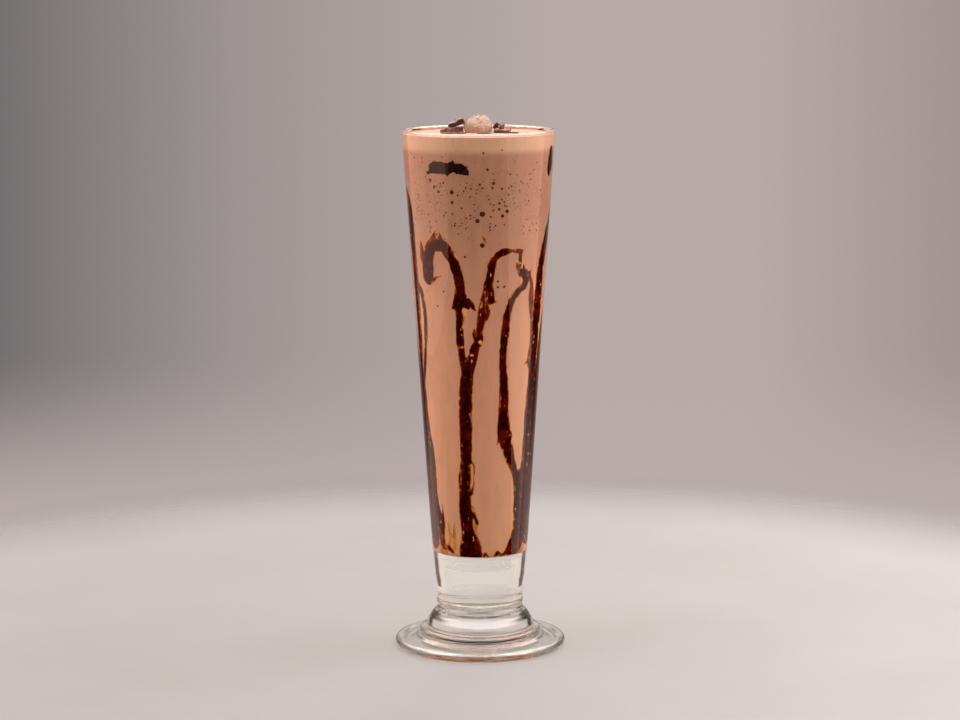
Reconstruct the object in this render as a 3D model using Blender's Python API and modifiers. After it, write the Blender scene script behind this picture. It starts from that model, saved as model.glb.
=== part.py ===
"""A chocolate protein smoothie in its tall footed pilsner glass.

Metres, +Z up.  The origin is the middle of the ring that the foot stands on,
and the glass is turned about Z.  The front, which is the side with the two
arches of sauce, faces -Y.  Angles round the glass count from the front,
towards +X.
"""
import math

import bmesh
import bpy
from mathutils import Matrix, Vector, noise

MM = 0.001

# Left alone, the vector noise on the chocolate's corners starts from the clock and differs each run.
NOISE_SEED = 1795467995
noise.seed_set(NOISE_SEED)

# The glass: a solid foot and stem, and a straight tapered bowl.
GLASS_HEIGHT = 235 * MM
BOWL_BASE_HEIGHT = 38 * MM
BOWL_BASE_RADIUS = 21.1 * MM
BOWL_TAPER = 0.0673
WALL = 2.2 * MM
LIP_RADIUS = 1.1 * MM
BOWL_FLOOR = 44 * MM
FLOOR_FILLET = 2.5 * MM
NECK_RADIUS = 19.4 * MM
BULB_RADIUS = 24.5 * MM
PLINTH_RADIUS = 28.9 * MM
FOOT_RADIUS = 38.6 * MM
FOOT_THICKNESS = 4.2 * MM
STAND_RADIUS = 35.4 * MM
PUNT_HEIGHT = 5.0 * MM
TURN_STEPS = 60

# The air left between two pieces that touch.
CLEARANCE = 0.3 * MM
WELD_DISTANCE = 0.01 * MM

# The drink, filled to just under the lip.
DRINK_LEVEL = 233.1 * MM
FOAM_SWELL = 0.8 * MM
FOAM_RIPPLE = 0.35 * MM
FOAM_RIPPLE_SIZE = 9 * MM
SHARP_EDGE_DEG = 35

# The sauce, poured down the inside of the wall before the drink went in.
ROUTE_STEP = 4.5 * MM
SAUCE_DEPTH = 1.6 * MM
SAUCE_SIDES_RESOLUTION = 2


def clear_scene():
    for leftover in list(bpy.data.objects):
        bpy.data.objects.remove(leftover, do_unlink=True)


def new_collection(name):
    collection = bpy.data.collections.new(name)
    bpy.context.scene.collection.children.link(collection)
    return collection


def plain_material(name, colour, roughness, alpha=1.0):
    material = bpy.data.materials.new(name)
    material.use_nodes = True
    shader = material.node_tree.nodes["Principled BSDF"]
    shader.inputs["Base Color"].default_value = (*colour, 1.0)
    shader.inputs["Roughness"].default_value = roughness
    shader.inputs["Alpha"].default_value = alpha
    return material


def add_object(name, mesh, collection, material=None):
    piece = bpy.data.objects.new(name, mesh)
    collection.objects.link(piece)
    if material:
        mesh.materials.append(material)
    return piece


def outer_radius(height):
    """Radius of the bowl's outside at a height."""
    return BOWL_BASE_RADIUS + BOWL_TAPER * (height - BOWL_BASE_HEIGHT)


def inner_radius(height):
    """Radius of the bowl's inside at a height."""
    return outer_radius(height) - WALL


def arc(centre, radius, start_deg, end_deg, steps):
    """Points (radius, height) on an arc in the turning plane."""
    points = []
    for step in range(steps + 1):
        angle = math.radians(start_deg + (end_deg - start_deg) * step / steps)
        points.append((centre[0] + radius * math.cos(angle), centre[1] + radius * math.sin(angle)))
    return points


def turned(name, profile, collection, material=None):
    """A solid of revolution; the profile runs up its inside and down its outside."""
    mesh = bpy.data.meshes.new(name)
    outline = bmesh.new()
    verts = [outline.verts.new((radius, 0.0, height)) for radius, height in profile]
    for lower, upper in zip(verts, verts[1:]):
        outline.edges.new((lower, upper))
    outline.to_mesh(mesh)
    outline.free()
    piece = add_object(name, mesh, collection, material)
    screw = piece.modifiers.new("Turn", "SCREW")
    screw.axis = "Z"
    screw.steps = TURN_STEPS
    screw.render_steps = TURN_STEPS
    screw.use_merge_vertices = True
    screw.merge_threshold = WELD_DISTANCE
    return piece


def evaluated_mesh(piece):
    """The piece's mesh with its modifiers applied, in world space."""
    depsgraph = bpy.context.evaluated_depsgraph_get()
    mesh = bpy.data.meshes.new_from_object(piece.evaluated_get(depsgraph))
    mesh.transform(piece.matrix_world)
    return mesh


def apply_modifiers(piece):
    mesh = evaluated_mesh(piece)
    piece.modifiers.clear()
    piece.matrix_world = Matrix()
    piece.data = mesh


def add_boolean(piece, operation, other):
    modifier = piece.modifiers.new(operation.title(), "BOOLEAN")
    modifier.operation = operation
    modifier.solver = "EXACT"
    if isinstance(other, bpy.types.Collection):
        modifier.operand_type = "COLLECTION"
        modifier.collection = other
    else:
        modifier.object = other


def as_cutter(piece):
    piece.hide_render = True
    piece.display_type = "WIRE"
    return piece


# ---------------------------------------------------------------- the glass

def foot_outline():
    """The foot, bulb and stem, from the bowl's base down to the floor."""
    return [
        (20.45 * MM, 33 * MM),
        (19.7 * MM, 28.5 * MM),
        (NECK_RADIUS, 25 * MM),
        (NECK_RADIUS, 22 * MM),
        (19.3 * MM, 21.2 * MM),
        (19.9 * MM, 20.1 * MM),
        (20.0 * MM, 18.4 * MM),
        (19.7 * MM, 17.2 * MM),
        (20.6 * MM, 16.6 * MM),
        (22.1 * MM, 14.6 * MM),
        (23.7 * MM, 12.2 * MM),
        (BULB_RADIUS, 10.2 * MM),
        (24.7 * MM, 8.9 * MM),
        (26.4 * MM, 9.1 * MM),
        (28.1 * MM, 8.3 * MM),
        (PLINTH_RADIUS, 7.0 * MM),
        (PLINTH_RADIUS, 5.4 * MM),
        (29.7 * MM, 4.7 * MM),
        (35.6 * MM, FOOT_THICKNESS),
        (37.5 * MM, 3.6 * MM),
        (38.4 * MM, 2.7 * MM),
        (FOOT_RADIUS, 1.7 * MM),
        (38.1 * MM, 0.6 * MM),
        (37.4 * MM, 0.0),
        (STAND_RADIUS, 0.0),
        (32.0 * MM, 1.1 * MM),
        (28.0 * MM, 2.3 * MM),
        (24.0 * MM, 3.5 * MM),
        (18.0 * MM, 4.6 * MM),
        (8.0 * MM, PUNT_HEIGHT),
        (0.0, PUNT_HEIGHT),
    ]


def build_glass(collection):
    floor_edge = inner_radius(BOWL_FLOOR + FLOOR_FILLET) - FLOOR_FILLET
    lip_height = GLASS_HEIGHT - LIP_RADIUS
    lip_middle = (outer_radius(lip_height) - LIP_RADIUS, lip_height)
    profile = [(0.0, BOWL_FLOOR)]
    profile += arc((floor_edge, BOWL_FLOOR + FLOOR_FILLET), FLOOR_FILLET, -90, 0, 3)
    profile += arc(lip_middle, LIP_RADIUS, 180, 0, 6)
    profile += [(BOWL_BASE_RADIUS, BOWL_BASE_HEIGHT)]
    profile += foot_outline()
    clear = plain_material("soda_lime_glass", (0.93, 0.93, 0.90), 0.03, alpha=0.35)
    return turned("glass", profile, collection, clear)


# ------------------------------------------------------------ the smoothie

def foam_height(x, y):
    """How far the foamy top stands above the level at its edge."""
    edge = inner_radius(DRINK_LEVEL) - CLEARANCE
    inward = max(0.0, 1.0 - math.hypot(x, y) / edge)
    ripple = noise.noise(Vector((x, y, 0.0)) / FOAM_RIPPLE_SIZE)
    return FOAM_SWELL * math.sqrt(inward) + FOAM_RIPPLE * ripple * min(1.0, inward * 5)


def build_smoothie(collection, cutters):
    gap = CLEARANCE
    floor_edge = inner_radius(BOWL_FLOOR + FLOOR_FILLET) - FLOOR_FILLET
    rim = inner_radius(DRINK_LEVEL) - gap
    profile = [(rim * part, DRINK_LEVEL) for part in (0.0, 0.25, 0.5, 0.75, 0.92, 1.0)]
    profile += arc((floor_edge, BOWL_FLOOR + FLOOR_FILLET), FLOOR_FILLET - gap, 0, -90, 3)
    profile += [(0.0, BOWL_FLOOR + gap)]
    milk_chocolate = plain_material("chocolate_smoothie", (0.47, 0.24, 0.16), 0.45)
    smoothie = turned("smoothie", profile, collection, milk_chocolate)
    apply_modifiers(smoothie)
    for vert in smoothie.data.vertices:
        if vert.co.z > DRINK_LEVEL - WELD_DISTANCE:
            vert.co.z += foam_height(vert.co.x, vert.co.y)
    add_boolean(smoothie, "DIFFERENCE", cutters)
    return smoothie


# --------------------------------------------------------------- the sauce
# Each run of sauce is a list of (angle, height, width): degrees from the
# front, then millimetres.

LEFT_ARCH = [(-51, 167, 6), (-52, 174, 7.5), (-51, 181, 7.5), (-44, 186.5, 8), (-36, 187.5, 8),
             (-28, 184, 6.5), (-22, 179, 5.5), (-18.5, 172, 5), (-17, 165, 5), (-15, 159.5, 6.5),
             (-18, 154, 5), (-18, 145, 5), (-17, 138, 5), (-13, 130, 7)]
RIGHT_ARCH = [(37, 182.5, 3.5), (28, 184, 3.5), (19, 182.5, 4), (12.5, 178.5, 4.5), (9.5, 171, 5),
              (8.5, 164, 6.5), (7, 158, 5.5), (3, 151, 4.5), (-1.5, 144, 5), (-6, 137, 5.5),
              (-10, 129, 7)]
TRUNK = [(-12, 132, 7.5), (-14, 121, 6.7), (-14.5, 104, 6), (-15, 93, 5.2), (-15.5, 82, 5.5),
         (-17, 72, 7.2), (-16, 63, 9), (-11, 54, 9.5), (-8, 47.5, 8)]
RIGHT_LEG = [(37, 182.5, 3.5), (38, 177, 4.5), (44, 171.5, 5), (41, 165.5, 4.5), (34, 161.5, 4),
             (28.5, 157, 4), (25.5, 150, 4), (24, 140, 4), (24, 130, 3.7), (25.5, 118, 4.5),
             (26, 108, 5), (28, 100, 6.5), (34, 94, 5), (40, 88, 5), (50, 81, 6.5)]
RIGHT_SIDE = [(81, 197, 2.5), (77, 190, 5), (70, 174, 6.5), (69, 158, 6.5), (68.5, 143, 7),
              (68, 129, 7), (64, 115, 6), (59, 106, 4.5), (53, 96, 3.8), (51, 88, 5),
              (56, 78, 9), (58, 68, 10.5), (57, 57, 10.5), (52, 48, 8)]
LEFT_SIDE = [(-80, 206, 2), (-78, 197, 3.2), (-74.5, 189, 6.2), (-75, 176, 6.5), (-73, 163, 5.5),
             (-73.5, 151, 5), (-74, 141, 6), (-73.5, 131, 5), (-72.5, 121, 5), (-72, 112, 5.8),
             (-71, 102, 6), (-65.5, 92, 7), (-64, 81, 6.2), (-62, 71, 5.4), (-57, 61, 6),
             (-55, 52, 5)]
LEFT_HOOK = [(-70, 167, 2.6), (-63, 166, 3.4), (-58.5, 160, 4.4), (-61.5, 149, 4.6), (-64, 139, 2.6)]
BACK_RIGHT = [(105, 186, 3), (110, 193, 5), (119, 192, 6), (126, 183, 5), (129, 168, 4.5),
              (130, 148, 4.5), (133, 127, 5), (136, 106, 4.5), (138, 86, 6), (140, 66, 7),
              (141, 50, 7)]
BACK_ARCH = [(163, 152, 2.6), (163, 166, 4), (168, 180, 5), (178, 186.5, 6), (188, 181, 5.5),
             (193, 168, 5), (195, 150, 4.5), (194, 129, 5), (190, 108, 5), (188, 88, 6),
             (186, 70, 7), (184, 51, 8)]
BACK_LEFT = [(222, 200, 2.6), (225, 188, 5), (229, 172, 5.5), (231, 152, 4.5), (229, 132, 4.5),
             (226, 112, 5.5), (228, 92, 5), (232, 74, 6), (235, 59, 5)]

SAUCE_RUNS = {
    "sauce_front": [LEFT_ARCH, RIGHT_ARCH, TRUNK, RIGHT_LEG, RIGHT_SIDE],
    "sauce_left": [LEFT_SIDE, LEFT_HOOK],
    "sauce_back_right": [BACK_RIGHT],
    "sauce_back": [BACK_ARCH],
    "sauce_back_left": [BACK_LEFT],
}


def between(before, start, end, after, part):
    """A point on the smooth curve through start and end."""
    square, cube = part ** 2, part ** 3
    values = []
    for a, b, c, d in zip(before, start, end, after):
        slope_start = (c - a) / 2
        slope_end = (d - b) / 2
        value = (2 * cube - 3 * square + 1) * b + (cube - 2 * square + part) * slope_start
        value += (3 * square - 2 * cube) * c + (cube - square) * slope_end
        values.append(value)
    return tuple(values)


def smooth_run(stations):
    """The run's points, a few millimetres apart along one smooth curve."""
    points = []
    for index in range(len(stations) - 1):
        before = stations[max(index - 1, 0)]
        start, end = stations[index], stations[index + 1]
        after = stations[min(index + 2, len(stations) - 1)]
        across = math.radians(end[0] - start[0]) * inner_radius(start[1] * MM)
        length = math.hypot(across, (end[1] - start[1]) * MM)
        steps = max(1, round(length / ROUTE_STEP))
        points += [between(before, start, end, after, step / steps) for step in range(steps)]
    return points + [stations[-1]]


def at_wall(angle_deg, height, radius):
    angle = math.radians(angle_deg)
    return Vector((radius * math.sin(angle), -radius * math.cos(angle), height))


def sauce_tube(name, stations, grow, collection):
    """A round tube that bulges SAUCE_DEPTH into the drink, as wide there as the run."""
    curve = bpy.data.curves.new(name, "CURVE")
    curve.dimensions = "3D"
    curve.bevel_depth = 1.0
    curve.bevel_resolution = SAUCE_SIDES_RESOLUTION
    curve.use_fill_caps = True
    points = smooth_run(stations)
    spline = curve.splines.new("POLY")
    spline.points.add(len(points) - 1)
    for spot, (angle, height_mm, width_mm) in zip(spline.points, points):
        height = height_mm * MM
        half_width = width_mm * MM / 2
        depth = min(SAUCE_DEPTH, half_width)
        tube_radius = (half_width ** 2 + depth ** 2) / (2 * depth)
        centre = at_wall(angle, height, inner_radius(height) - CLEARANCE + tube_radius - depth)
        spot.co = (*centre, 1.0)
        spot.radius = tube_radius + grow
    guide = bpy.data.objects.new(name, curve)
    collection.objects.link(guide)
    bpy.context.view_layer.update()
    mesh = evaluated_mesh(guide)
    bpy.data.objects.remove(guide, do_unlink=True)
    welded = bmesh.new()
    welded.from_mesh(mesh)
    bmesh.ops.remove_doubles(welded, verts=welded.verts, dist=WELD_DISTANCE)
    welded.to_mesh(mesh)
    welded.free()
    return add_object(name, mesh, collection)


def joined_tubes(name, runs, grow, collection):
    """The tubes of one patch of sauce, joined into one body."""
    tubes = [sauce_tube(f"{name}_run_{index}", run, grow, collection) for index, run in enumerate(runs)]
    first = tubes[0]
    for tube in tubes[1:]:
        add_boolean(first, "UNION", tube)
    apply_modifiers(first)
    for tube in tubes[1:]:
        bpy.data.objects.remove(tube, do_unlink=True)
    first.name = name
    return first


def drink_envelope(name, collection):
    """The space inside the wall, which trims the sauce flush with the drink's side."""
    gap = CLEARANCE
    top = GLASS_HEIGHT
    floor_edge = inner_radius(BOWL_FLOOR + FLOOR_FILLET) - FLOOR_FILLET
    profile = [(0.0, top), (inner_radius(top) - gap, top)]
    profile += arc((floor_edge, BOWL_FLOOR + FLOOR_FILLET), FLOOR_FILLET - gap, 0, -90, 3)
    profile += [(0.0, BOWL_FLOOR + gap)]
    return as_cutter(turned(name, profile, collection))


def build_sauce(collection, workshop, cutters):
    dark = plain_material("chocolate_sauce", (0.035, 0.010, 0.006), 0.25)
    envelope = drink_envelope("envelope", workshop)
    for name, runs in SAUCE_RUNS.items():
        sauce = joined_tubes(name, runs, 0.0, collection)
        add_boolean(sauce, "INTERSECT", envelope)
        apply_modifiers(sauce)
        sauce.data.materials.clear()
        sauce.data.materials.append(dark)
        as_cutter(joined_tubes(f"{name}_groove", runs, CLEARANCE, cutters))


# ------------------------------------------------- chocolate and the lump

SLAB_WOBBLE = 0.16
SLAB_WOBBLE_SCALE = 2.3
SLAB_SEED_SCALE = 700
POCKET_GROW = 0.4 * MM


def slab(name, size, place, turn_deg, collection, grow=0.0):
    """A broken piece of chocolate: a slab with uneven corners."""
    mesh = bpy.data.meshes.new(name)
    block = bmesh.new()
    bmesh.ops.create_cube(block, size=1.0)
    bmesh.ops.subdivide_edges(block, edges=block.edges[:], cuts=1, use_grid_fill=True)
    for vert in block.verts:
        wobble = noise.noise_vector(vert.co * SLAB_WOBBLE_SCALE + Vector(size) * SLAB_SEED_SCALE)
        shape = Vector([(along + jitter * SLAB_WOBBLE / 2) * side
                        for along, jitter, side in zip(vert.co, wobble, size)])
        outward = Vector([0.0 if along == 0.0 else math.copysign(grow, along) for along in vert.co])
        vert.co = shape + outward
    bmesh.ops.triangulate(block, faces=block.faces[:])
    turn = Matrix.Rotation(math.radians(turn_deg[2]), 4, "Z") \
        @ Matrix.Rotation(math.radians(turn_deg[1]), 4, "Y") \
        @ Matrix.Rotation(math.radians(turn_deg[0]), 4, "X")
    block.transform(Matrix.Translation(place) @ turn)
    block.to_mesh(mesh)
    block.free()
    return add_object(name, mesh, collection)


# name: (size, place, turn), in millimetres and degrees.
CHOCOLATE_SLABS = {
    "shard_low": ((6.4, 5.6, 2.2), (-10.7, -1.0, 235.0), (0, -4, 12)),
    "shard_high": ((6.6, 4.6, 1.6), (-10.2, 0.6, 238.2), (6, -20, 4)),
    "chip_right": ((7.6, 4.2, 1.4), (10.6, -3.4, 234.3), (0, 2, -8)),
    "crumb_left": ((2.4, 2.2, 1.6), (-15.6, -2.5, 234.2), (0, 8, 30)),
    "chunk_front": ((19.0, 3.2, 5.4), (-12.5, -27.6, 220.2), (4, 4, -25.5)),
    "chunk_side": ((3.0, 9.5, 11.5), (29.0, -8.2, 221.0), (0, -4, -17)),
}

LUMP_PLACE = Vector((-0.3, 0.0, 236.4)) * MM
LUMP_SIZE = Vector((5.7, 5.4, 5.2)) * MM
LUMP_UNEVENNESS = 0.10
LUMP_UNEVENNESS_SCALE = 1.7
LUMP_SQUARENESS = 0.10
LUMP_CROWN_TAPER = 0.05


def build_lump(name, collection, grow=0.0):
    """A soft lump with a lopsided dome, its foot sunk in the foam."""
    mesh = bpy.data.meshes.new(name)
    ball = bmesh.new()
    bmesh.ops.create_icosphere(ball, subdivisions=3, radius=1.0)
    for vert in ball.verts:
        swell = 1.0 + LUMP_UNEVENNESS * noise.noise(vert.co * LUMP_UNEVENNESS_SCALE)
        swell += LUMP_SQUARENESS * (1.0 - abs(vert.co.z)) - LUMP_CROWN_TAPER * max(0.0, vert.co.z)
        vert.co = Vector([along * (half + grow) * swell for along, half in zip(vert.co, LUMP_SIZE)])
        vert.co += LUMP_PLACE
    ball.to_mesh(mesh)
    ball.free()
    return add_object(name, mesh, collection)


CURL_PLACE = Vector((9.3, 2.6, 236.0)) * MM
CURL_RADIUS = 1.5 * MM
CURL_THICKNESS = 0.8 * MM
CURL_LENGTH = 4.4 * MM
CURL_STEPS = 14
CURL_SWEEP_DEG = 285
CURL_TURN_DEG = -24
CURL_ROLL_DEG = 150


def build_curl(name, collection):
    """A shaving of chocolate that has rolled up on itself."""
    mesh = bpy.data.meshes.new(name)
    strip = bmesh.new()
    inside = CURL_RADIUS - CURL_THICKNESS / 2
    outside = CURL_RADIUS + CURL_THICKNESS / 2
    half_length = CURL_LENGTH / 2
    corners = [(inside, -half_length), (outside, -half_length),
               (outside, half_length), (inside, half_length)]
    verts = [strip.verts.new((radius, along, 0.0)) for radius, along in corners]
    start_face = strip.faces.new(verts)
    bmesh.ops.spin(strip, geom=[start_face], cent=(0, 0, 0), axis=(0, 1, 0),
                   angle=math.radians(CURL_SWEEP_DEG), steps=CURL_STEPS, use_duplicate=False)
    bmesh.ops.recalc_face_normals(strip, faces=strip.faces[:])
    turn = Matrix.Rotation(math.radians(CURL_TURN_DEG), 4, "Z") \
        @ Matrix.Rotation(math.radians(CURL_ROLL_DEG), 4, "Y")
    strip.transform(Matrix.Translation(CURL_PLACE) @ turn)
    strip.to_mesh(mesh)
    strip.free()
    return add_object(name, mesh, collection)


def build_toppings(collection, cutters):
    dark = plain_material("dark_chocolate", (0.030, 0.014, 0.010), 0.35)
    pale = plain_material("frozen_lump", (0.60, 0.36, 0.27), 0.5)
    envelope = bpy.data.objects["envelope"]
    for name, (size, place, turn) in CHOCOLATE_SLABS.items():
        size_m = [side * MM for side in size]
        place_m = Vector(place) * MM
        piece = slab(name, size_m, place_m, turn, collection)
        if name.startswith("chunk"):
            add_boolean(piece, "INTERSECT", envelope)
            apply_modifiers(piece)
        piece.data.materials.append(dark)
        as_cutter(slab(f"{name}_pocket", size_m, place_m, turn, cutters, grow=POCKET_GROW))
    build_lump("lump", collection).data.materials.append(pale)
    as_cutter(build_lump("lump_pocket", cutters, grow=POCKET_GROW))
    build_curl("curl", collection).data.materials.append(dark)


def main():
    clear_scene()
    drink = new_collection("protein_smoothie")
    cutters = new_collection("cutters")
    workshop = new_collection("workshop")
    build_glass(drink)
    build_sauce(drink, workshop, cutters)
    build_toppings(drink, cutters)
    build_smoothie(drink, cutters)
    for piece in drink.objects:
        piece.data.shade_smooth()
        piece.data.set_sharp_from_angle(angle=math.radians(SHARP_EDGE_DEG))


main()
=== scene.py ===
import math
import random

import bmesh
import bpy
import numpy as np
from mathutils import Matrix, Vector, noise


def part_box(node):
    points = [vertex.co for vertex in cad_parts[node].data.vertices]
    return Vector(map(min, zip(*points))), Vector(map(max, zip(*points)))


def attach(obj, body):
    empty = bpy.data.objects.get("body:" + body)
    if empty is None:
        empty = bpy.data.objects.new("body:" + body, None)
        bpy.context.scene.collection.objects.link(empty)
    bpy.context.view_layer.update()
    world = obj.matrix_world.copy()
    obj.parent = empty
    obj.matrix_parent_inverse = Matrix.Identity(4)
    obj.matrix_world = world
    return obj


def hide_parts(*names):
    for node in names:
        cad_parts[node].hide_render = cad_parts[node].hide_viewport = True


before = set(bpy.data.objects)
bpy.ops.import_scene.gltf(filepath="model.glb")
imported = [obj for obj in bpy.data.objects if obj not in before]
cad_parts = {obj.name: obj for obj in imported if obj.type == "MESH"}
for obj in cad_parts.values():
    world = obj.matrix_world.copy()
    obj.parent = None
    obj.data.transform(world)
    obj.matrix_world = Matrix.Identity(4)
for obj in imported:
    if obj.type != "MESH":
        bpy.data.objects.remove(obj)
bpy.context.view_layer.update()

# Left alone, the vector noise that breaks the chocolate starts from the clock and differs each run.
NOISE_SEED = 1795470960
noise.seed_set(NOISE_SEED)


# ---------------------------------------------------------------- the glass
# A tall footed pilsner glass of clear soda-lime glass, pressed and blown in a
# mould.  Its straight bowl, solid stem, bulb and disc foot are one piece, and
# the lip was melted round in a flame.

MM = 0.001
GLASS_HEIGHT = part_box("glass")[1].z
BOWL_BASE_HEIGHT = 38 * MM
BOWL_BASE_RADIUS = 21.1 * MM
BOWL_TAPER = 0.0673
WALL = 2.2 * MM
LIP_RADIUS = 1.1 * MM
BOWL_FLOOR = 44 * MM
FLOOR_FILLET = 2.5 * MM
PUNT_HEIGHT = 5.0 * MM
ROUNDING = 0.5 * MM
ROUNDING_STEPS = 6
LIP_STEPS = 24
FILLET_STEPS = 12
TURN_STEPS = 192
WELD_DISTANCE = 0.004 * MM
HOLD_LOOP = 0.2 * MM
LONGEST_RING = 4 * MM


def outer_radius(height):
    """Radius of the bowl's outside at a height."""
    return BOWL_BASE_RADIUS + BOWL_TAPER * (height - BOWL_BASE_HEIGHT)


FILLET_TOP = BOWL_FLOOR + FLOOR_FILLET
FILLET_MIDDLE = outer_radius(FILLET_TOP) - WALL - FLOOR_FILLET


def inner_radius(height):
    """Radius of the bowl's inside at a height, with the round turn into its floor."""
    if height >= FILLET_TOP:
        return outer_radius(height) - WALL
    below = min(FILLET_TOP - height, FLOOR_FILLET)
    return FILLET_MIDDLE + math.sqrt(FLOOR_FILLET ** 2 - below ** 2)


def arc(centre, radius, start_deg, end_deg, steps):
    """Points (radius, height) on an arc in the turning plane."""
    angles = [math.radians(start_deg + (end_deg - start_deg) * step / steps) for step in range(steps + 1)]
    return [(centre[0] + radius * math.cos(angle), centre[1] + radius * math.sin(angle)) for angle in angles]


def rounded(corners, reach, steps):
    """The outline with each inner corner turned into a smooth bend."""
    bends = [corners[0]]
    for before, corner, after in zip(corners, corners[1:], corners[2:]):
        legs = []
        for other in (before, after):
            length = math.dist(corner, other)
            share = min(0.5, reach / length)
            legs.append([c + (o - c) * share for c, o in zip(corner, other)])
        for step in range(steps + 1):
            t = step / steps
            bends.append(tuple((1 - t) ** 2 * a + 2 * t * (1 - t) * c + t ** 2 * b
                               for a, c, b in zip(legs[0], corner, legs[1])))
    return bends + [corners[-1]]


def with_rings(profile):
    """The outline with extra points on its long straight stretches, which keep them straight in the light."""
    points = [profile[0]]
    for start, end in zip(profile, profile[1:]):
        length = math.dist(start, end)
        stops = [1.0]
        if length > 4 * HOLD_LOOP:
            count = max(1, round(length / LONGEST_RING))
            inner = [step / count for step in range(1, count)]
            stops = [HOLD_LOOP / length, *inner, 1 - HOLD_LOOP / length, 1.0]
        points += [tuple(a + (b - a) * stop for a, b in zip(start, end)) for stop in stops]
    return points


def turned(profile, steps):
    """A closed body of revolution from an outline that starts and ends on the axis."""
    body = bmesh.new()
    verts = [body.verts.new((radius, 0.0, height)) for radius, height in profile]
    edges = [body.edges.new(pair) for pair in zip(verts, verts[1:])]
    bmesh.ops.spin(body, geom=verts + edges, cent=(0, 0, 0), axis=(0, 0, 1),
                   angle=math.tau, steps=steps, use_merge=True, use_duplicate=False)
    bmesh.ops.remove_doubles(body, verts=body.verts, dist=WELD_DISTANCE)
    bmesh.ops.recalc_face_normals(body, faces=body.faces)
    return body


def rotation(degrees, axis):
    """A turn about an axis."""
    return Matrix.Rotation(math.radians(degrees), 4, axis)


def add_piece(name, body, *materials):
    """The finished mesh as an object at the origin, shaded smooth."""
    mesh = bpy.data.meshes.new(name)
    body.to_mesh(mesh)
    body.free()
    for material in materials:
        mesh.materials.append(material)
    mesh.shade_smooth()
    piece = bpy.data.objects.new(name, mesh)
    bpy.context.scene.collection.objects.link(piece)
    return piece


def colour(sheet_hex):
    """An sRGB hex colour as linear RGBA."""
    channels = [int(sheet_hex[i:i + 2], 16) / 255 for i in (1, 3, 5)]
    return [c / 12.92 if c <= 0.04045 else ((c + 0.055) / 1.055) ** 2.4 for c in channels] + [1.0]


def add_node(tree, kind, sockets=None, **settings):
    """A shader node with its settings, and on its sockets values or links; a node gives its first output."""
    made = tree.nodes.new(kind)
    for name, value in settings.items():
        setattr(made, name, value)
    for name, value in (sockets or {}).items():
        if isinstance(value, bpy.types.Node):
            value = value.outputs[0]
        if isinstance(value, bpy.types.NodeSocket):
            tree.links.new(value, made.inputs[name])
        else:
            made.inputs[name].default_value = value
    return made


def maths(tree, operation, *values):
    """One sum on values or links."""
    return add_node(tree, "ShaderNodeMath", dict(enumerate(values)), operation=operation)


def remap(tree, value, source, target=(0.0, 1.0), **settings):
    """A value brought from one range into another, and held inside it."""
    return add_node(tree, "ShaderNodeMapRange", {
        "Value": value, "From Min": source[0], "From Max": source[1],
        "To Min": target[0], "To Max": target[1]}, **settings)


def eased(tree, value, start, end):
    """How far a value has come from start to end, eased in and out."""
    return remap(tree, value, (start, end), interpolation_type="SMOOTHSTEP")


def clouds(tree, place, **sockets):
    """Soft noise at a place."""
    return add_node(tree, "ShaderNodeTexNoise", {"Vector": place, **sockets})


def ramp(tree, value, stops):
    """A value turned into a colour by its stops."""
    made = add_node(tree, "ShaderNodeValToRGB", {"Fac": value})
    elements = made.color_ramp.elements
    for index, (place, shade) in enumerate(stops):
        element = elements[index] if index < len(elements) else elements.new(place)
        element.position = place
        element.color = colour(shade)
    return made


def mixed(tree, share, first, second, **settings):
    """Two colours mixed, by the second's share."""
    sockets = {0: share, 6: first, 7: second}
    return add_node(tree, "ShaderNodeMix", sockets, data_type="RGBA", **settings).outputs[2]


def new_material(name):
    """An empty node material, and its tree."""
    material = bpy.data.materials.new(name)
    material.use_nodes = True
    material.node_tree.nodes.clear()
    return material, material.node_tree


def finished(material, surface):
    """The material with its surface's shader on its output."""
    add_node(material.node_tree, "ShaderNodeOutputMaterial", {"Surface": surface})
    return material


def soda_lime_glass():
    """Clear glass with a breath of warm green in thick places; lamps shine straight through it."""
    material, tree = new_material("soda_lime_glass")
    glass = add_node(tree, "ShaderNodeBsdfPrincipled", {
        "Base Color": colour("#fbfbf6"), "Roughness": 0.0, "IOR": 1.52, "Transmission Weight": 1.0})
    clear = add_node(tree, "ShaderNodeBsdfTransparent", {"Color": colour("#fcfbf8")})
    path = add_node(tree, "ShaderNodeLightPath")
    bounced = add_node(tree, "ShaderNodeMixShader", {
        0: path.outputs["Is Diffuse Ray"], 1: glass, 2: clear})
    shadowed = add_node(tree, "ShaderNodeMixShader", {
        0: path.outputs["Is Shadow Ray"], 1: bounced, 2: clear})
    return finished(material, shadowed)


# (radius, height) of the stem, bead, bulb, plinth, foot and the hollow under it, in millimetres, from the
# bowl down.
FOOT_CORNERS = [
    (20.45, 33), (19.7, 28.5), (19.4, 25), (19.4, 21.8), (19.75, 21.3), (19.8, 20.2), (19.4, 19.7),
    (19.5, 17.6), (19.3, 17.0), (20.6, 16.5), (22.2, 14.6), (23.5, 12.4), (24.2, 10.4), (24.3, 9.2),
    (23.7, 8.4), (25.0, 8.2), (26.6, 8.9), (27.3, 8.2), (27.5, 7.0), (27.1, 5.6), (28.3, 5.5),
    (28.9, 5.0), (29.4, 4.5), (36.8, 4.3), (37.9, 4.0), (38.5, 3.2), (38.6, 2.0), (38.3, 0.8),
    (37.4, 0.0), (35.4, 0.0), (32.0, 1.1), (28.0, 2.3), (24.0, 3.5), (18.0, 4.6), (8.0, 5.0),
]
lip_height = GLASS_HEIGHT - LIP_RADIUS
lip_middle = (outer_radius(lip_height) - LIP_RADIUS, lip_height)
lip = arc(lip_middle, LIP_RADIUS, 180, 0, LIP_STEPS)
foot = [(radius * MM, height * MM) for radius, height in FOOT_CORNERS]
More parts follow.
